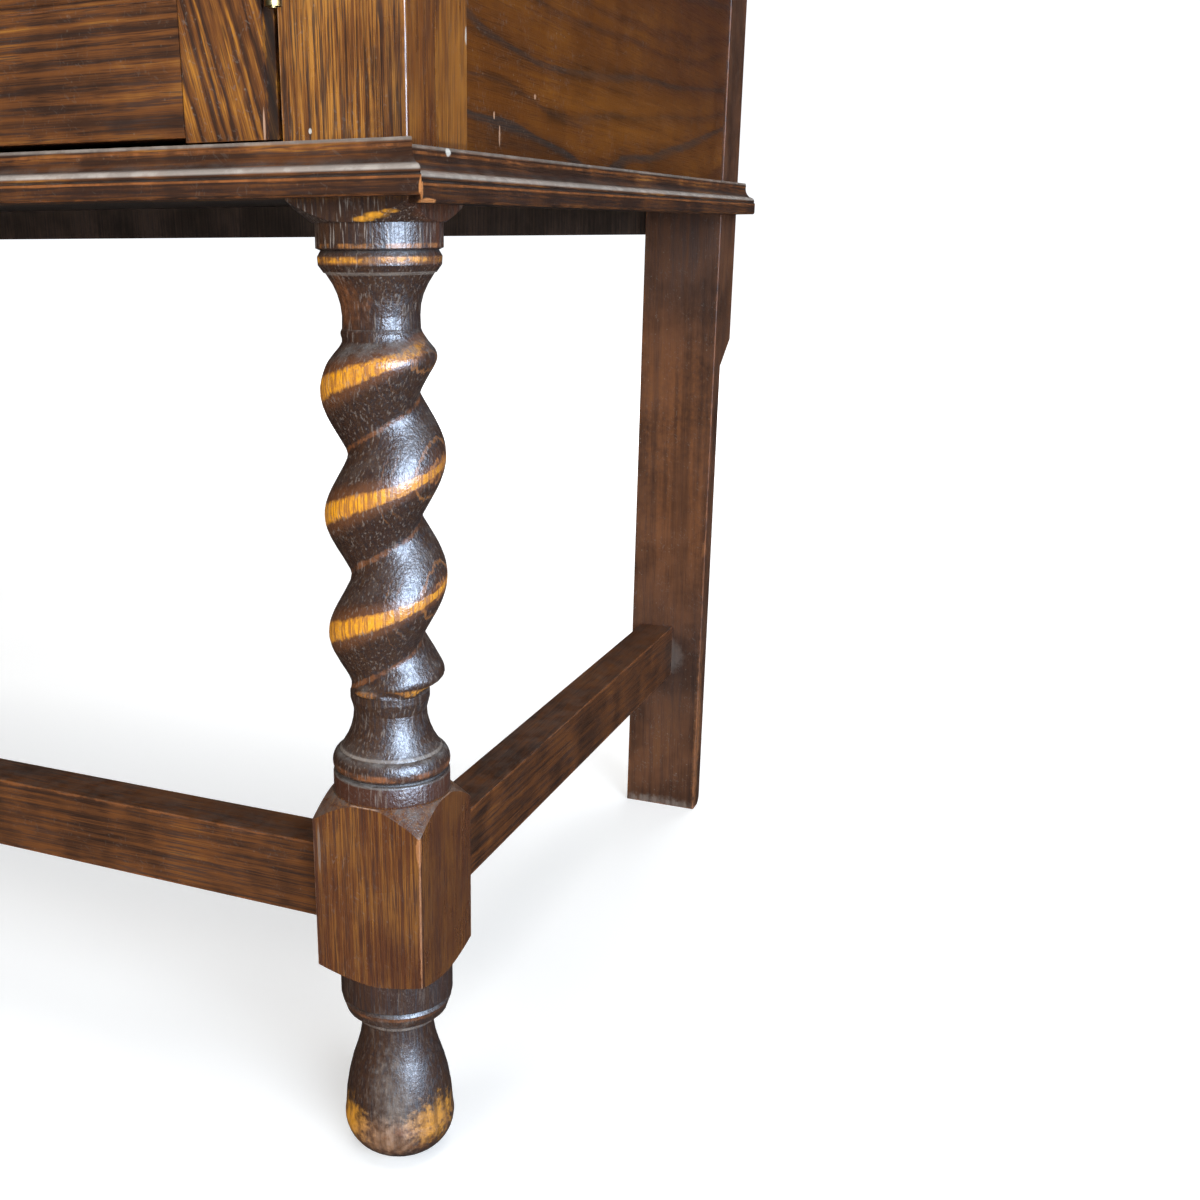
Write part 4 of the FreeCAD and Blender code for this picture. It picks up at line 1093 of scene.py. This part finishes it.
RIGHT_LEG_MARKS = (
    Patch((519, -180, 464.5), (1.5, 1.2, 3), PAINT),
    Patch((500.5, -229, 401), (4.2, 4, 1), AMBER, 0.85, 0.9, 0.25),
    Patch((506, -229, 402.3), (4.6, 4, 1.2), AMBER, 0.85, 0.9, 0.25),
    Patch((511.5, -229, 403.6), (3.6, 4, 0.8), AMBER, 0.85, 0.9, 0.25),
    Patch((486, -219, 372), (9, 6, 9), RUBBED, 0.6, 2.2, 0.8),
    Patch((472, -229, 151), (0.7, 2, 12), PALE_DUST, 0.6),
    Patch((480, -224, 19), (9, 12, 8), AMBER, 0.8, 3.2, 0.8),
    Patch((516, -213, 22), (8, 13, 8), AMBER, 0.8, 3.2, 0.8),
    Patch((499, -229, 15), (15, 9, 9), WORN_TAN, 0.65, 2.4, 0.9),
    # Painted highlight on the belly of the foot.
    Patch((504, -230, 44), (10, 10, 26), DUST_AND_HIGHLIGHT_GREY, 0.4, 2, 1),
    Patch((519, -229, 160), (1.8, 1.8, 9), CHIPPED, 0.8, 1),
    Patch((519, -229, 128), (0.9, 0.9, 36), CHIPPED, 0.7, 1.2),
    Patch((480.7, -229, 430.7), (0.7, 2, 1), PAINT, 0.7),
    Patch((514, -229, 440), (10, 3, 26), TURNED_STAIN, 0.55, 1.6, 0.4),
    # Painted shade: the whole right side of the block, then its darker lower front and its left edge.
    Patch((520, -204, 133), (3.5, 40, 60), PAINTED_SHADE_RED, 0.6, 0.6, 0.4),
    Patch((508, -229, 102), (22, 3, 24), PAINTED_SHADE_RED, 0.6, 1.4, 0.9),
    Patch((470, -229, 128), (5, 3, 60), PAINTED_SHADE_RED, 0.55, 1.4, 0.7),
    # Redder stain and painted shade over the post's right side face.
    Patch((520, -204, 560), (4, 34, 420), RED_STAIN_AND_SHADE, 0.58, 0.5, 0.3),
)
RIGHT_REAR_MARKS = (
    Patch((492, 211.5, 1), (34, 3, 5), PALE_DUST, 0.5, 1.4, 0.4),
    Patch((489, 211.5, 113), (16.5, 3, 15), PALE_DUST, 0.6, 0.6, 0.1),
    Patch((517, 213, 55), (2, 6, 60), RAW_OAK, 0.45, 2.2, 0.6),
    Patch((516, 212, 190), (1.4, 4, 5), RAW_OAK, 0.35, 1.6, 0.4),
    Patch((498, 211.5, 215), (22, 4, 85), RUBBED, 0.45, 1.8, 1),
    Patch((484, 211.5, 320), (24, 4, 55), RUBBED, 0.35, 1.8, 1),
    Patch((500, 211.5, 395), (42, 4, 52), OLD_WAX, 0.7, 1.2, 1),
    Patch((500, 211.5, 120), (42, 4, 50), OLD_WAX, 0.5, 1.2, 1),
)
RIGHT_STILE_MARKS = (
    # Painted shade in the hinge gap, over the dark hinge strip on the stile's edge.
    Patch((464.4, -228, 595), (2.6, 4, 400), NEAR_BLACK, 0.85, 0.5),
    Patch((461.2, -228, 433), (0.5, 2, 7), CREAM, 0.75, 0.5),
)
RIGHT_PANEL_MARKS = (
    Patch((515.5, -140.5, 432.7), (1.5, 0.8, 4.3), CREAM, 0.9, 0.4),
    Patch((515.5, -146, 440), (1.5, 0.8, 1.6), CREAM, 0.8, 0.4),
    Patch((515.5, -102.8, 450), (1.5, 1.1, 1.2), CREAM, 0.8, 0.4),
    Patch((515.5, -125, 430), (3, 60, 6), NEAR_BLACK, 0.5, 1.4, 0.7),
    Patch((515.5, 60, 450), (3, 120, 18), GLOWING, 0.3, 1.2, 1),
    # Painted shade on the upper rear of the side panel.
    Patch((515.5, 165, 505), (3, 150, 62), PAINTED_SHADE_RED, 0.75, 1.2, 1),
)
FRONT_MOULDING_MARKS = (
    Patch((528.8, -239, 410.5), (0.9, 3, 4), CHIPPED, 0.85, 0.8),
    Patch((525, -239, 423), (0.8, 3, 0.8), PAINT, 0.8, 0.4),
)
SIDE_MOULDING_MARKS = (
    Patch((529, -233, 406), (4, 7, 1.6), CHIPPED, 0.95, 0.8),
    Patch((524, -203.7, 423.6), (4, 2.6, 1.8), PAINT, 0.9, 0.5),
    Patch((529, -238.6, 411), (3, 0.9, 4.5), CHIPPED, 0.8, 0.8),
)
MOULDING_BANDS = (
    WornBand(427.2, 1.2, PALE_DUST, 0.8, 0.4),
    WornBand(425, 0.7, RUBBED, 0.8, 0.7),
    WornBand(420.6, 1.6, TURNED_STAIN, 0.6, 0.5),
    WornBand(417.9, 1.5, DUST_AND_HIGHLIGHT_GREY, 0.9, 0.3),
    WornBand(415.4, 0.9, NEAR_BLACK, 0.8, 0.2),
    WornBand(414.4, 0.6, RUBBED, 0.95, 0.5),
    WornBand(411.4, 2.8, TURNED_STAIN, 0.6, 0.6),
)
SIDE_MOULDING_DROP = 2.5
SIDE_MOULDING_BANDS = tuple(replace(band, height=band.height - SIDE_MOULDING_DROP) for band in MOULDING_BANDS)

POST_OAK = OakFinish(
    pith=(-160, 12, 0), spacing=3.2, tone=0.6, figure=0.22, streak=0.2, fibre=0.55, mottle=0.28,
    wax=0.75, worn=CREAM, wear=0.65, wear_width=1, broken=0.6, dust=0.9, marks=0.2,
    rough=0.24, coat=0.04, coat_rough=0.25, shine=0.45,
)
RAIL_OAK = OakFinish(
    grain=Grain.ACROSS, pith=(0, 30, -180), spacing=4, tone=0.29, figure=0.35, streak=0.3,
    wax=0.65, marks=0.12, coat=0.14, shine=0.22,
)
STRETCHER_OAK = replace(RAIL_OAK, figure=0.15, streak=0.2, mottle=0.3, wear=0.4, wear_width=2.4, dust=0.25)
SIDE_STRETCHER_OAK = replace(STRETCHER_OAK, grain=Grain.BACKWARD)
MOULDING_OAK = replace(RAIL_OAK, spacing=2.4, tone=0.22, mottle=0.5, dust=0.3, bands=MOULDING_BANDS)
SIDE_MOULDING_OAK = replace(MOULDING_OAK, grain=Grain.BACKWARD, bands=SIDE_MOULDING_BANDS)
PLANK_OAK = OakFinish(
    spacing=6, middle=(0.118, 0.048, 0.022), tone=0.3, figure=0.07, streak=0.08, fibre=0.06,
    mottle=0.32, wax=0.3, wear_width=2, rough=0.42, coat=0.03, shine=0.15,
)
PANEL_OAK = OakFinish(
    grain=Grain.BACKWARD, pith=(0, -40, 600), tilt=(1.5, 0, 0), spacing=17, wander=46,
    torn=7, bow=0.45, lines=0.75, dark=(0.036, 0.014, 0.005), middle=(0.108, 0.034, 0.006),
    light=(0.2, 0.068, 0.006), tone=0.47, figure=0.3, streak=0.14, fibre=0.13, wax=0.25,
    rough=0.3, coat=0.05, shine=0.12,
)
INNER_OAK = OakFinish(
    spacing=7, dark=(0.07, 0.04, 0.02), light=(0.3, 0.18, 0.085), figure=0.4, streak=0.22, fibre=0.12,
    wear=0.2, rough=0.6, coat=0.05,
)
# Near-black oak on the bottom board and back rails: painted shade under the case, also on the back rails.
PAINTED_SHADE_UNDER_OAK = OakFinish(
    dark=(0.03, 0.02, 0.015), middle=(0.075, 0.045, 0.032), tone=0.2, figure=0.1, streak=0.1,
    wear=0.1, marks=0, coat=0.05,
)
STILE_OAK = OakFinish(
    pith=(-400, 90, 0), tilt=(2, 15, 0), spacing=5.6, wander=12, torn=6.5,
    light=(0.43, 0.175, 0.02), tone=0.43, figure=0.9, streak=0.25, fibre=0.28,
    wear=0.3, coat=0.12, shine=0.22,
)
BOARDS = {
    "rear_right_leg": replace(PLANK_OAK, patches=RIGHT_REAR_MARKS),
    "rear_left_leg": PLANK_OAK,
    "front_stretcher": STRETCHER_OAK,
    **dict.fromkeys(("right_stretcher", "left_stretcher"), SIDE_STRETCHER_OAK),
    "right_side_panel": replace(PANEL_OAK, patches=RIGHT_PANEL_MARKS),
    "left_side_panel": PANEL_OAK,
    "top_board": replace(RAIL_OAK, tone=0.3, figure=0.5, dust=0.08, coat=0.25),
    **dict.fromkeys(("top_rail", "drawer_rail", "bottom_rail"), RAIL_OAK),
    "centre_muntin": POST_OAK,
    "front_base_moulding": replace(MOULDING_OAK, patches=FRONT_MOULDING_MARKS),
    "right_base_moulding": replace(SIDE_MOULDING_OAK, patches=SIDE_MOULDING_MARKS),
    "left_base_moulding": SIDE_MOULDING_OAK,
    **dict.fromkeys(("back_rails", "bottom_board"), PAINTED_SHADE_UNDER_OAK),
    **dict.fromkeys(("back_panel", "shelf", "shelf_bearers", "door_stop"), INNER_OAK),
    **dict.fromkeys(("drawer_runners", "drawer_guides", "drawer_kickers"), INNER_OAK),
}


def main() -> None:
    """Dress the cabinet piece by piece and set up the studio."""
    logging.basicConfig(level=logging.INFO, format="%(message)s")
    effects = Effects()
    for side, hand, marks in (("right", 1.0, RIGHT_LEG_MARKS), ("left", -1.0, ())):
        look = replace(POST_OAK, bands=LEG_BANDS, patches=marks)
        TwistLeg(f"front_{side}_leg", hand, look).dress(effects)
        LOG.info("front %s leg dressed", side)
    Carcass(BOARDS).dress(effects)
    for side, marks in (("right", RIGHT_STILE_MARKS), ("left", ())):
        stiles = replace(STILE_OAK, patches=marks)
        Door(f"{side}_door_", stiles, RAIL_OAK, PANEL_OAK, RAIL_OAK).dress(effects)
        Drawer(f"{side}_drawer_", RAIL_OAK, INNER_OAK).dress(effects)
    Studio().build()


if __name__ == "__main__":
    main()
